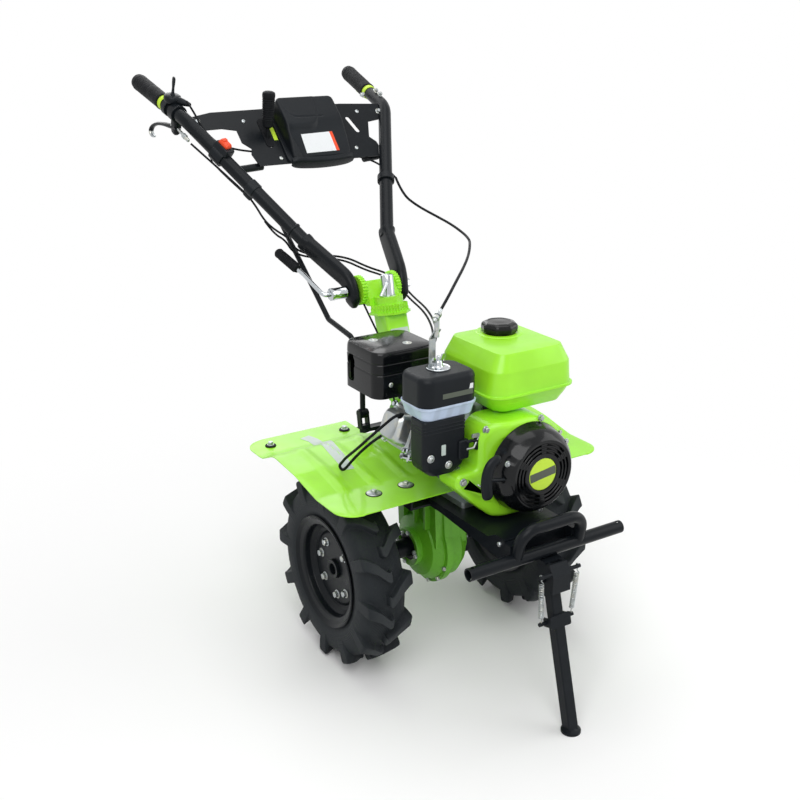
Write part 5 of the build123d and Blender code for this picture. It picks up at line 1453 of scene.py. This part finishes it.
@dataclass
class Handlebars:
    """The flattened arms, the bent tubes and their grips."""

    tube: float = 16.0
    tip: tuple[float, float, float] = (63, 226, 499)
    heel: tuple[float, float, float] = (66, 240, 557)
    low: tuple[float, float, float] = (105, 358, 622)
    bend: tuple[float, float, float] = (272.7, 638.7, 887.2)
    end: tuple[float, float, float] = (295.2, 860.3, 957)
    grip_long: float = 128.0

    def mirrored(self, point: Sequence[float], side: int) -> Array:
        """A point of the left bar on either side."""
        return vec(side * point[0], point[1], point[2])

    def grip_way(self, side: int) -> Array:
        """The direction of a grip, towards the operator."""
        return unit(self.mirrored(self.end, side) - self.mirrored(self.bend, side))

    def bar(self, side: int) -> Surface:
        """A handlebar: rounded oblongs carried along the flat arm, and a round tube out of its end."""
        left = (self.tip, self.heel, self.low, self.bend, self.end)
        tip, heel, low, bend, end = (self.mirrored(p, side) for p in left)
        stop = low + (bend - low) * 0.04
        line = evened(rounded([tip, heel, low, stop], [0, 50, 120, 0], 12, closed=False), 40)
        s = np.linspace(0, 1, len(line))
        wide = np.interp(s, [0, 0.02, 0.08, 0.5, 0.8, 0.97, 1], [11, 22, 42, 46, 45, 43, 41])
        thick = np.interp(s, [0, 0.02, 0.08, 0.9, 0.97, 1], [8, 15, 23, 27, 35, 35])
        profiles = np.stack([oblong(t, w, 0.42 * t, 5) for w, t in zip(wide, thick)])
        made = Surface().solid(sweep(line, profiles, vec(1, 0, 0)))
        tube = rounded([low - (bend - low) * 0.01, bend, end], [0, 90, 0], 14, closed=False)
        made.solid(sweep(tube, circle(self.tube, 28), vec(0, 0, 1)))
        return made

    def grip(self, side: int, name: str) -> None:
        """A grip: a turned profile with shallow rings, a flange and a domed end, and an oval patch."""
        end, way = self.mirrored(self.end, side), self.grip_way(side)
        place = along(end + way * 6, end - way)
        profile = [(0.05, 0), (11, 0), (16, 1.4), (19, 4.6), (20.2, 9), (20.4, 14)]
        for k in range(12):
            z = 18 + k * 8
            profile += [(20.0 - 0.02 * k, z), (19.7, z + 1), (20.0 - 0.02 * k, z + 2)]
        profile += [(19.6, 118), (19.8, 124), (20.2, 128), (20.2, 132), (19, 134), (16.2, 134)]
        rubber = Surface().solid(lathe(profile, place, 40))
        rubber.build(f"soft_grip_{name}", SOFT, "handlebars", "grip_rubber")
        u, v = np.meshgrid(np.linspace(0, 1, 7), np.arange(28) * TAU / 28, indexing="ij")
        turn = np.radians(250 if side > 0 else 290) + 0.42 * u * np.cos(v)
        ring = 20.2 + 0.28 * (1 - u**4)
        far = 98 + 14 * u * np.sin(v)
        patch = Surface().solid(place.at(np.stack([ring * np.cos(turn), ring * np.sin(turn), far], -1)))
        patch.build(f"grip_patch_{name}", ACID, "handlebars", "yellow_green")

    def build(self) -> None:
        """Makes both bars and their grips."""
        grips = Surface()
        for side, name in SIDES:
            self.bar(side).build(
                f"bent_bar_{name}", PIANO, "handlebars", "black_paint", [f"handlebar_{name}"]
            )
            self.grip(side, name)
            way = self.grip_way(side)
            foot = self.mirrored(self.end, side) - way * (self.grip_long + 12)
            ring = [(16.4, -2), (17.2, -1.8), (17.8, -0.6), (18, 2), (18, 9), (17.6, 11.6), (16.4, 11.8)]
            grips.grid(lathe(ring, along(foot, foot + way), 40), round_u=True)
        grips.build("grip_rings", ACID, "handlebars", "yellow_green", ["grip_collars"])


@dataclass
class Panel:
    """The cross plate's moulded hood, its labels, the shift lever and the bolts."""

    place: Place = Place(vec(0, 541, 788), vec(1, 0, 0), vec(0, 0.7009, 0.7133), vec(0, -0.7133, 0.7009))

    def height(self, x: Array, y: Array) -> Array:
        """The hood's top over the plate at (x, y).

        The lower of a level top and a front slope, joined softly; over it the higher of
        that and a rounded tongue whose front edge is a bowed line; less a narrow groove
        behind the tongue and a facet that falls away left of a slanting crease.

        Args:
            x: Across the plate, in millimetres.
            y: Up the plate, in millimetres.

        Returns:
            The height over the plate, in millimetres.
        """
        slope = 18 + 28 * (y - 2) / 78
        top = 46 - 2.4 * np.logaddexp(0, (46 - slope) / 2.4)
        edge = 66 + 60 * ((x + 8) / 56) ** 6
        tongue = 46 - 2.6 * np.logaddexp(0, np.clip((edge - y) / 2.6, -40, 40))
        rise = np.logaddexp(top / 1.4, tongue / 1.4) * 1.4
        groove = 89.5 + 24 * (np.clip(20 - x, 0, 70) / 59) ** 6
        rise = rise - 1.7 * np.exp(-(((y - groove) / 1.7) ** 2)) * smooth(62 - x, 0, 12) * smooth(x, -50, -40)
        crease = -43 + (50 - y) * 0.395
        return rise - 0.42 * np.clip(crease - x, 0, 30) * smooth(80 - y, 0, 18)

    def hood(self) -> None:
        """The hood, with a bowed lip along its front.

        Its rings draw in from a rounded outline to its middle, each as high as the top less
        its drop. The lip is a section carried along a line whose bow is 1 - u squared.
        """
        outline = rounded([(114, -10), (106, 154), (-56, 154), (-48, -10)], 16, 6)
        outline = evened(np.concatenate([outline, outline[:1]]), 201)[:-1]
        inner = drawn_in(outline)
        bend = np.linspace(0, math.pi / 2, 6)
        rings = [inner(0), inner(3)] + [inner(3.2 + 5 * (1 - math.cos(a))) for a in bend]
        drops = [80.0, 12.0] + [5 * (1 - math.sin(a)) for a in bend]
        middle = vec(29, 72)
        shares = np.append(np.linspace(1, 0, 60)[1:-1], 0.004)
        rings += [middle + (rings[-1] - middle) * s for s in shares]
        flat = np.stack(rings)
        drop = np.array(drops + [0.0] * len(shares))[:, None]
        rise = np.maximum(self.height(flat[..., 0], flat[..., 1]) - drop, 0.2)
        made = Surface().solid(self.place.at(np.concatenate([flat, rise[..., None]], -1)))
        flange = [(0.2, 176, 172, 18), (5.2, 176, 172, 18), (6, 174.6, 170.6, 17)]
        made.solid(boxed(flange, self.place.moved(29, 72), 0, 6))
        u = np.linspace(-1, 1, 37)
        bow = -10 - 7 * (1 - u**2)
        ends = 1 - 0.5 * np.abs(u) ** 10
        section = [
            (9, 17.5), (3, 17.2), (-1.5, 14.5), (-3, 10), (-3.4, -8), (-3, -13), (-0.6, -13.4), (0, -9),
            (1, 10), (5, 13.5)
        ]
        lip = [np.stack([33 + 84 * u, bow + y, h * ends + 2 * (1 - ends)], -1) for y, h in section]
        made.solid(self.place.at(np.stack(lip, 1)))
        made.build("moulded_hood", MOULDED, "handlebars", "black_plastic", ["panel_hood"], 50)

    def patch(
        self, name: str, finish: Finish, corners: Array, slot: str, rise: Optional[float] = None
    ) -> None:
        """A thin sheet between four corners: each point is their bilinear mix, laid on the hood.

        Args:
            name: The piece's name.
            finish: Its finish.
            corners: Two rows of two places on the plate.
            slot: The record's slot.
            rise: Its height over the plate, or None to follow the hood.
        """
        u, v = np.meshgrid(np.linspace(0, 1, 25), np.linspace(0, 1, 13), indexing="ij")
        u, v = u[..., None], v[..., None]
        c = np.asarray(corners, float)
        flat = (c[0, 0] * (1 - u) + c[0, 1] * u) * (1 - v) + (c[1, 0] * (1 - u) + c[1, 1] * u) * v
        if rise is None:
            over = self.height(flat[..., 0], flat[..., 1]) + 0.5
        else:
            over = np.full(flat.shape[:2], rise)
        top = np.concatenate([flat, over[..., None]], -1)
        under = top - [0, 0, 0.9]
        grid = self.place.at(np.concatenate([top, under[:, ::-1]], 1))
        Surface().solid(grid).build(name, finish, "handlebars", slot)

    def lever(self) -> None:
        """The shift lever: a stem from its slot and a long ribbed grip, turned about the same axis."""
        foot, tip = self.place.at(vec(-86, 70, 0)), self.place.at(vec(-84, 138, 86))
        place = along(foot, tip)
        far = float(np.linalg.norm(tip - foot))
        profile = [(4.8, -30), (4.8, far - 86), (9, far - 85), (12.4, far - 82), (12.8, far - 72)]
        for k in range(10):
            z = far - 69 + k * 5.2
            out = 13.0 + 0.12 * k
            profile += [(out, z), (out + 1, z + 1), (out + 1, z + 3.2), (out, z + 4.2)]
        profile += [(15.2, far - 15), (15.6, far - 8), (14.4, far - 3), (10, far - 0.6), (0.05, far)]
        made = Surface().solid(lathe(profile, place, 30))
        block = boxed([(-15.4, 30, 16, 3), (-3.4, 30, 16, 3)], self.place.moved(-86, 70), 0, 3)
        made.solid(block)
        gate = [(-1, 20, 84, 9), (1.4, 20, 84, 9), (2, 19, 83, 8.5)]
        made.solid(boxed(gate, self.place.moved(-86, 84), 0, 6))
        made.build("shift_handle", SOFT, "handlebars", "grip_rubber", ["shift_lever"])

    def build(self) -> None:
        """Makes the panel's pieces."""
        self.hood()
        self.lever()
        label = [[(-17, 47), (60, 48.8)], [(-12, 3), (69, 4)]]
        self.patch("hood_label", WHITE, label, "aluminium")
        edge = [[(60, 48.8), (68, 49)], [(69, 4), (77.5, 4.2)]]
        self.patch("hood_label_edge", RED, edge, "red_plastic")
        strip = [[(-71, 137), (-61, 137)], [(-71, 61), (-61, 61)]]
        self.patch("gear_strip", ACID, strip, "yellow_green", 0.7)
        bolts = Surface()
        for x, y in ((-130, 122), (-73, 8), (186, 130), (139, 20)):
            round_head(bolts, self.place.moved(x, y, 0.4), 5.4, 3.4)
        for x, y in ((-246, 128), (248, 126)):
            hex_head(bolts, self.place.moved(x, y, 0), 10, 5, 8)
        bolts.build("panel_bolts", ZINC, "handlebars", "zinc")
        shaft = Surface()
        for x, y, far in ((-150, -3, 62), (178, -2, 44)):
            start = self.place.at(vec(x - far / 2, y, -16))
            shaft.solid(rod([start, self.place.at(vec(x + far / 2, y + 5, -17))], 9, sides=20))
        shaft.build("panel_stays", PIANO, "handlebars", "black_paint")


@dataclass
class Controls:
    """The clutch lever, thumb lever, stop switch and cable clasp, each on a place of its bar."""

    lever: Place = Place(
        vec(-276.31, 674.25, 898.4), vec(-0.9949, -0.101, 0), vec(0.0302, -0.2975, 0.9542),
        vec(-0.0964, 0.9494, 0.299)
    )
    thumb: Place = Place(
        vec(-279.77, 708.36, 909.14), vec(-0.9949, -0.101, 0), vec(0.0302, -0.2975, 0.9542),
        vec(-0.0964, 0.9494, 0.299)
    )
    switch: Place = Place(
        vec(-224.69, 558.35, 811.28), vec(-0.8585, -0.5129, 0), vec(0.3231, -0.5408, 0.7767),
        vec(-0.3983, 0.6667, 0.6299)
    )
    clasp: Place = Place(
        vec(175.26, 475.59, 733.1), vec(-0.8585, 0.5129, 0), vec(-0.3231, -0.5408, 0.7767),
        vec(0.3983, 0.6667, 0.6299)
    )

    def collar(self, place: Place, half: float, radius: float = 21.0) -> Array:
        """A clamp round the bar: a ring with rounded edges."""
        low = [(16.3, -half), (radius - 1, -half), (radius, -half + 1)]
        return lathe(low + [(r, -h) for r, h in low[::-1]], place, 36)

    def clutch(self) -> None:
        """The clutch lever: its perch, a curling blade with a worn bare end, and the cable's adjuster."""
        made = Surface().grid(self.collar(self.lever, 11), round_u=True)
        perch = [(-4, 14, 18, 4), (0, 20, 24, 5), (16, 19, 26, 6), (30, 15, 22, 6), (34, 10, 14, 4)]
        place = self.lever
        down = Place(place.at(vec(0, -18, 0)), place.x, place.z, -place.y)
        made.solid(boxed(perch, down, [0, 2, 3, 3, 0], 4))
        line = curved(
            [(-278, 672, 866), (-280, 692, 866), (-283, 712, 867), (-286, 740, 868), (-290, 772, 866),
             (-293, 796, 858), (-294.5, 806, 846), (-294, 800, 836), (-293, 788, 834)], 54
        )
        s = np.linspace(0, 1, len(line))
        wide = np.interp(s, [0, 0.1, 0.4, 0.8, 0.95, 1], [9, 9, 7.5, 6.5, 6, 2])
        thick = np.interp(s, [0, 0.1, 0.4, 0.8, 0.95, 1], [8, 7, 4.4, 3.6, 3.2, 1.5])
        profile = circle(1, 16)[None] * np.stack([wide, thick], -1)[:, None]
        grid = sweep(line, profile, vec(1, 0, 0))
        coated = 40
        made.solid(grid[:coated])
        made.build("clutch_blade", PIANO, "handlebars", "black_paint", ["clutch_lever"])
        bare = Surface().solid(grid[coated - 1 :])
        hex_head(bare, Place(place.at(vec(6, -30, 8)), place.x, place.z, -place.y), 8, 4, 0)
        screw = along(vec(-283, 650, 862), vec(-283, 585, 838))
        shank = [(3, -6), (4, -4), (4, 26), (6.4, 27), (6.4, 36), (4.4, 37), (4.4, 52), (2.6, 56)]
        bare.solid(lathe(shank, screw, 14))
        bare.build("clutch_ends", ZINC, "handlebars", "zinc")

    def throttle(self) -> None:
        """The thumb lever: a round case on the bar with a cable barrel and a thin upright tongue."""
        place = self.thumb
        made = Surface().grid(self.collar(place, 9), round_u=True)
        axis = Place(place.at(vec(0, 25, -8)), place.x, -place.z, place.y)
        case = [
            (0.05, -9), (17, -9), (19, -7), (20.4, -2), (20.4, 3), (19.4, 6.4), (17, 8.4), (9, 10.4),
            (0.05, 11)
        ]
        made.solid(lathe(case, axis, 40))
        barrel = along(place.at(vec(-8, 24, -20)), place.at(vec(-24, 24, -50)))
        made.solid(lathe([(9, -4), (9.6, 0), (8.6, 14), (6.4, 26), (4.6, 34), (2.6, 36)], barrel, 20))
        tongue = [
            (6, 13, 11, 4), (14, 8, 6, 2.6), (24, 6.4, 5, 2.2), (36, 10, 5.4, 2.4), (46, 11, 5, 2.2),
            (50, 7, 3.4, 1.4)
        ]
        upright = Place(place.at(vec(2, 28, -12)), -place.z, place.x, place.y)
        made.solid(boxed(tongue, upright, [0, 4, 8, 8, 4, 0], 4))
        made.build("thumb_throttle", MOULDED, "handlebars", "black_plastic", ["thumb_lever"])
        pin = Surface()
        round_head(pin, axis.moved(z=10.6), 4, 2.4)
        pin.build("throttle_pin", ZINC, "handlebars", "zinc")

    def stop(self) -> None:
        """The stop switch: a black case on its clamp and an orange red rocker with a stepped top."""
        place = self.switch
        top = Place(place.at(vec(0, 13, 0)), -place.x, place.z, place.y)
        dark = Surface().grid(self.collar(place, 17), round_u=True)
        dark.solid(boxed([(0, 32, 44, 5), (13, 31, 43, 5), (15.4, 28, 40, 4)], top, [0, 2, 0], 4))
        dark.build("switch_case", MOULDED, "handlebars", "black_plastic")
        rocker = [(13, 22, 28, 3), (20, 21.4, 27, 3), (23.4, 18, 22, 3), (23.6, 10, 12, 2)]
        made = Surface().solid(boxed(rocker, top.moved(y=3), [0, 2, 2, 0], 4))
        made.solid(boxed([(20, 19, 10, 2), (25.4, 18, 8, 2)], top.moved(y=10), 0, 3))
        made.build("switch_rocker", RED, "handlebars", "red_plastic", ["stop_switch"])

    def clips(self) -> None:
        """Black collars and ties that hold the cables to the bars, and the nuts at the left bar's bend."""
        made = Surface()
        run = unit(vec(-167.7, 280.7, 265.2))
        below = unit(vec(-0.323, 0.541, -0.777))
        for share, half in ((0.447, 12), (0.12, 3)):
            spot = vec(-105 - 167.7 * share, 358 + 280.7 * share, 622 + 265.2 * share)
            ring = along(spot, spot + run)
            made.grid(self.collar(ring, half, 18.4), round_u=True)
            knot = along(spot + below * 17, spot + below * 30, run)
            levels = [(-1, 2 * half, 13, 3), (8, 2 * half, 12, 3), (11, 2 * half - 3, 7, 2)]
            made.solid(boxed(levels, knot, 0, 3))
        made.build("cable_ties", MOULDED, "handlebars", "black_plastic")
        nuts = Surface()
        for spot, way in (((275, 668, 916), (0.4, -0.6, 0.5)), ((276, 690, 923), (0.4, -0.6, 0.5)),
                          ((257, 720, 912), (-1, 0, 0.1))):
            start = vec(*spot)
            hex_head(nuts, along(start, start + unit(vec(*way))), 9, 6, 7)
        nuts.build("bar_nuts", ZINC, "handlebars", "zinc")

    def build(self) -> None:
        """Makes the controls."""
        self.clutch()
        self.throttle()
        self.stop()
        self.clips()
        ring = Surface().grid(self.collar(self.clasp, 9), round_u=True)
        ring.build("clasp_ring", MOULDED, "handlebars", "black_plastic", ["cable_clasp"])


@dataclass
class Column:
    """Small things on the column and the head: the plate, the lock's pin and the clamp lever."""

    foot: Array = field(default_factory=lambda: vec(0, 98, 262))
    top: Array = field(default_factory=lambda: vec(0, 176, 490))

    def build(self) -> None:
        """Makes the plate, the lock and the lever."""
        run = unit(self.top - self.foot)
        out = unit(vec(0, -run[2], run[1]))
        spot = self.top - run * 62 + out * 28
        place = Place(spot, vec(1, 0, 0), run, out)
        frame_line = [(-0.4, 46, 52, 3), (0.5, 46, 52, 3), (0.8, 45, 51, 3)]
        Surface().solid(boxed(frame_line, place, 0, 4)).build("column_plate", SILVER, "root", "zinc")
        field_line = [(0.4, 34, 34, 1), (1.1, 34, 34, 1), (1.2, 33, 33, 1)]
        plate_field = Surface().solid(boxed(field_line, place.moved(0, -4), 0, 3))
        plate_field.build("column_plate_field", GREY, "root", "black_plastic")
        lean = vec(0, math.sin(math.radians(10)), math.cos(math.radians(10)))
        axis = along(self.top + lean * (13.3 + 26), self.top + lean * 90)
        post = [
            (17, -0.2), (17, 2), (14.4, 2.6), (14.4, 44), (13.6, 46.6), (11, 47.8), (6, 48), (5.4, 46.4),
            (0.05, 46.4)
        ]
        lock = Surface().solid(lathe(post, axis, 36))
        knob = axis.at(vec(0, 0, 30))
        lock.solid(rod([knob, knob + vec(-10, -14, 2), knob + vec(-30, -22, -24)], 4.2, 6))
        lock.build("lock_post", BRIGHT, "head", "chrome", ["swivel_lock"])
        clamp = Surface()
        start, end = vec(-138, 352, 572), vec(-150, 427, 599)
        way = unit(end - start)
        clamp.solid(lathe([(0.05, -79.5), (5.9, -79.5), (5.9, 79), (0.05, 79)], sideways(0, 238, 535), 20))
        sleeve = sideways(-80, 238, 535, left=False)
        rings = [(14, 0), (14, 3), (13.4, 4), (13.4, 30), (14, 31), (14, 37), (12.6, 38), (4, 38)]
        clamp.solid(lathe(rings, sleeve, 28))
        hex_head(clamp, sideways(80, 238, 535), 19, 10.4)
        route = [vec(-110, 238, 535), vec(-134, 238, 535), start - way * 24, start + way * 6]
        clamp.solid(rod(route, 5, [0, 16, 30, 0]))
        clamp.build("clamp_handle", BRIGHT, "handlebars", "chrome", ["clamp_lever"])
        far = float(np.linalg.norm(end - start))
        profile = [(5.4, 0), (9, 0.4), (9.6, 3)]
        for k in range(11):
            profile += [
                (10.6, 6 + k * 5.4), (11.8, 7.4 + k * 5.4), (11.8, 9.4 + k * 5.4), (10.6, 10.6 + k * 5.4)
            ]
        profile += [(11.6, far - 9), (11.8, far - 5), (9.5, far - 1), (0.05, far)]
        rubber = Surface().solid(lathe(profile, along(start, end), 26))
        rubber.build("clamp_rubber", SOFT, "handlebars", "grip_rubber", ["clamp_grip"])


@dataclass
class Cables:
    """The control cables and the plug lead, each held by the machine at both ends."""

    upper: tuple = (
        (198.11, 466.47, 736.25), (196, 432, 700), (211, 388, 677), (227, 330, 660), (229, 262, 649),
        (214, 208, 645)
    )
    lower: tuple = (
        (214, 208, 645), (199, 154, 641), (150, 84, 640), (92, 10, 639), (30, -60, 637), (-34, -124, 629),
        (-88, -170, 610), (-123, -190, 588.3),
    )
    lead: tuple = (
        (-165, -140, 372), (-174, -149, 386), (-190, -149, 388), (-208, -136, 368), (-226, -112, 338),
        (-238, -80, 304), (-243, -42, 272), (-240, -18, 251), (-239, -6, 240), (-237, -14, 232),
        (-236, -28, 241), (-231, -50, 268), (-216, -78, 303), (-188, -102, 334), (-156, -120, 352),
    )
    clutch: tuple = (
        (-283, 585, 838), (-262, 568, 814), (-225, 532, 770), (-190, 498, 727), (-178, 478, 703),
        (-166, 456, 668), (-150, 430, 648), (-134, 404, 636), (-120, 394, 606), (-84, 372, 594),
        (-27, 330, 593), (16, 297, 568), (66, 302, 548), (86, 292, 534), (93, 272, 522),
    )
    clutch_low: tuple = (
        (93, 272, 522), (96, 257, 514), (91, 222, 505), (64, 120, 502), (4.5, 0, 505), (-62, -100, 512),
        (-104, -150, 517), (-120, -176, 516),
    )
    wire: tuple = ((-236, 588, 812), (-240, 580, 798), (-228, 556, 776), (-206, 520, 744), (-189, 495, 722))
    across: tuple = (
        (-256, 660, 925), (-254, 628, 905), (-242, 604, 862), (-196, 598, 820), (-90, 588, 802),
        (60, 578, 794), (158, 550, 780), (190, 500, 757), (198.11, 466.47, 736.25),
    )
    column: tuple = (
        (-40, 234, 515), (-41, 212, 497), (-41, 190, 477), (-40, 163, 452), (-38, 142, 420), (-36, 122, 375),
        (-35, 106, 325), (-35, 98, 280), (-35, 97, 264),
    )

    def strand(self, name: str, route: Sequence, body: str = "", stands_for: Sequence[str] = (),
               radius: float = 3.0) -> bpy.types.Object:
        """A cable: a quadratic NURBS line that the route's points draw after them, as a round mesh.

        Args:
            name: The piece's name.
            route: The control points.
            body: The body it rides on, or "" for none.
            stands_for: The nodes it is shown for.
            radius: Its radius, in millimetres.

        Returns:
            The object.
        """
        curve = bpy.data.curves.new(name, "CURVE")
        curve.dimensions, curve.bevel_depth, curve.bevel_resolution = "3D", radius * MM, 3
        curve.use_fill_caps = True
        line = curve.splines.new("NURBS")
        line.points.add(len(route) - 1)
        for point, place in zip(line.points, metres(np.array(route))):
            point.co = (*place, 1)
        line.order_u, line.use_endpoint_u, line.resolution_u = 3, True, 12
        source = bpy.data.objects.new(name + "_line", curve)
        mesh = bpy.data.meshes.new_from_object(source)
        bpy.data.objects.remove(source)
        mesh.name = name
        made = bpy.data.objects.new(name, mesh)
        bpy.context.scene.collection.objects.link(made)
        mesh.materials.clear()
        mesh.materials.append(SOFT.material())
        mesh.shade_smooth()
        if stands_for:
            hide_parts(*stands_for)
        if body:
            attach(made, body)
        return made

    def bent(self, made: bpy.types.Object) -> None:
        """Bakes a strand's placement into its mesh."""
        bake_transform(made)

    def build(self) -> None:
        """Makes the lengths and their adjusters; each length that crosses a joint rides on no body, its
        placement baked into its mesh.
        """
        made = self.strand("throttle_cable_upper", self.upper, "", ["cables_upper"])
        self.bent(made)
        made = self.strand("throttle_cable_lower", self.lower, "", ["cables_lower"])
        self.bent(made)
        self.strand("plug_lead_loop", self.lead, "root", ["plug_lead"])
        for number, shift in enumerate(((0, 0, 0), (-4, 6, -7))):
            high = np.array(self.clutch) + shift
            low = np.array(self.clutch_low) + shift
            if number:
                high = high[5:]
                high[0] += (4, -6, 7)
            made = self.strand(f"bar_cable_{number}", high, radius=2.4)
            self.bent(made)
            made = self.strand(f"bar_cable_low_{number}", low, radius=2.4)
            self.bent(made)
        self.strand("switch_wire", self.wire, "handlebars", radius=1.6)
        self.strand("throttle_cable_across", self.across, "handlebars", radius=2.4)
        made = self.strand("clutch_cable_column", self.column, radius=2.2)
        self.bent(made)
        ends = Surface()
        clip = along(vec(-123, -190, 588.3), vec(-88, -170, 610))
        ends.solid(lathe([(3.2, -14), (4.4, -12), (4.4, 2), (3.6, 3), (3.6, 16), (3.2, 20)], clip, 16))
        ends.solid(lathe([(7, -3), (7, 3)], clip.moved(z=-4), 6))
        ends.solid(lathe([(7, -3), (7, 3)], clip.moved(z=6), 6))
        low = along(vec(-35, 97, 258), vec(-35, 97, 300))
        ends.solid(lathe([(3, -3), (5, -2), (5, 12), (7, 12.4), (7, 18), (4, 19), (3, 24)], low, 16))
        ends.build("cable_adjuster", ZINC, "root", "zinc")


@dataclass
class Stand:
    """The bumper's end bolts and the stand's springs, foot and bolts."""

    turns: int = 20
    coil: float = 4.4

    def springs(self) -> None:
        """Two coil springs: a round wire along a helix between the rods, with a hook at either end."""
        foot = vec(0, -412, 96) + unit(vec(0, -84, -303)) * 84
        made = Surface()
        for side in (-1, 1):
            top = vec(side * 45, -438, 121)
            low = vec(side * 37, foot[1], foot[2])
            place = along(low, top)
            far = float(np.linalg.norm(top - low))
            t = np.linspace(0, self.turns * TAU, self.turns * 14 + 1)
            z = np.interp(t, [0, t[-1]], [14, far - 14])
            ring = np.stack([self.coil * np.cos(t), self.coil * np.sin(t), z], -1)
            a = np.linspace(-0.6 * math.pi, math.pi / 2, 12)
            hook = np.stack([np.zeros(12), 5 * np.cos(a), -5 * np.sin(a)], -1)
            first = np.vstack([hook, [[2, 2, 9.6]]])
            reach = [[self.coil * math.cos(t[-1]) * 0.4, 2, far - 9.6]]
            last = np.vstack([reach, hook[::-1] * [1, 1, -1] + [0, 0, far]])
            line = place.at(np.vstack([first, ring, last]))
            made.solid(sweep(line, circle(1.05, 7), vec(0.3, 1, 0.2)))
        piece = made.build("stand_coils", ZINC, "", "zinc", ["stand_springs"])
        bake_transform(piece)

    def build(self) -> None:
        """Makes the springs, the foot's dome and the bolts."""
        self.springs()
        pad = level(0, -496, -207)
        dome = [(20, 4.4), (19.6, 5.4), (15, 6.4), (11, 8.5), (9, 12)]
        Surface().solid(lathe(dome, pad, 36)).build("foot_dome", BLACK, "stand", "black_paint")
        bolts = Surface()
        for side in (-1, 1):
            hex_head(bolts, facing(side * 76, -398, 178), 9, 4)
            hex_head(bolts, sideways(side * 88, -362, 172, side > 0), 9, 4)
        bolts.build("chassis_bolts", ZINC, "root", "zinc")
        pins = Surface()
        for side in (-1, 1):
            round_head(pins, sideways(side * 25, -412, 96, side > 0), 6, 4)
        pins.build("stand_pin_heads", BLACK, "stand", "black_paint")


@dataclass
class Gearbox:
    """What the casting carries: bearing seals, bearing retainers and flange bolts."""

    def build(self) -> None:
        """Makes the retainers and the bolts."""
        dark, green, bolts = Surface(), Surface(), Surface()
        for side in (-1, 1):
            place = sideways(side * 61, 0, 0, side > 0)
            rim = lathe([(22, 0.3), (30, 0.3), (30, 3), (29, 4), (24, 4), (22, 3)], place, 48)
            dark.grid(rim, round_u=True)
            rim = [(29, -1), (43, -1), (44, 0), (44, 4.4), (43, 6), (33, 6), (31, 4.6), (29.6, 4.4)]
            green.grid(lathe(rim, place, 56), round_u=True)
            for turn in (80, 170, 260, 350):
                t = math.radians(turn)
                hex_head(bolts, place.moved(38 * math.cos(t), 38 * math.sin(t), 5.8), 9, 5)
        dark.build("bearing_seals", BLACK, "root", "black_paint")
        green.build("bearing_retainers", LIME_CAST, "root", "cast_green")
        for turn in range(200, 341, 28):
            t = math.radians(turn)
            hex_head(bolts, sideways(-20, 88 * math.cos(t), 88 * math.sin(t), left=False), 9, 6)
        bolts.build("gearbox_bolts", ZINC, "root", "zinc")


def dress() -> None:
    """Gives each node that stays in view its finish, by the record's slots."""
    slots = {entry["node"]: entry["material_slot"] for entry in frame["record"]["subparts"]}
    special = {"panel": PIANO, "muffler_guard": SMOOTH, "shift_rod": PIANO, "bumper": PIANO, "chassis": PIANO}
    for name, slot in slots.items():
        obj = frame["nodes"][name]
        finish = special.get(name, DRESS[slot])
        obj.data.materials.clear()
        obj.data.materials.append(finish.material())
        log.info("%s: %s", name, finish.name)


def main() -> None:
    """Builds the studio and every sub-assembly in order."""
    logging.basicConfig(level=logging.INFO, format="%(name)s: %(message)s")
    Studio().build()
    Cables().build()
    for part in (
        Wheels(), Fenders(), Gearbox(), Engine(), Column(), Handlebars(), Panel(), Controls(), Stand()
    ):
        part.build()
        log.info("%s made", type(part).__name__)
    dress()
    bpy.context.scene.view_settings.view_transform = "Standard"


if __name__ == "__main__":
    main()
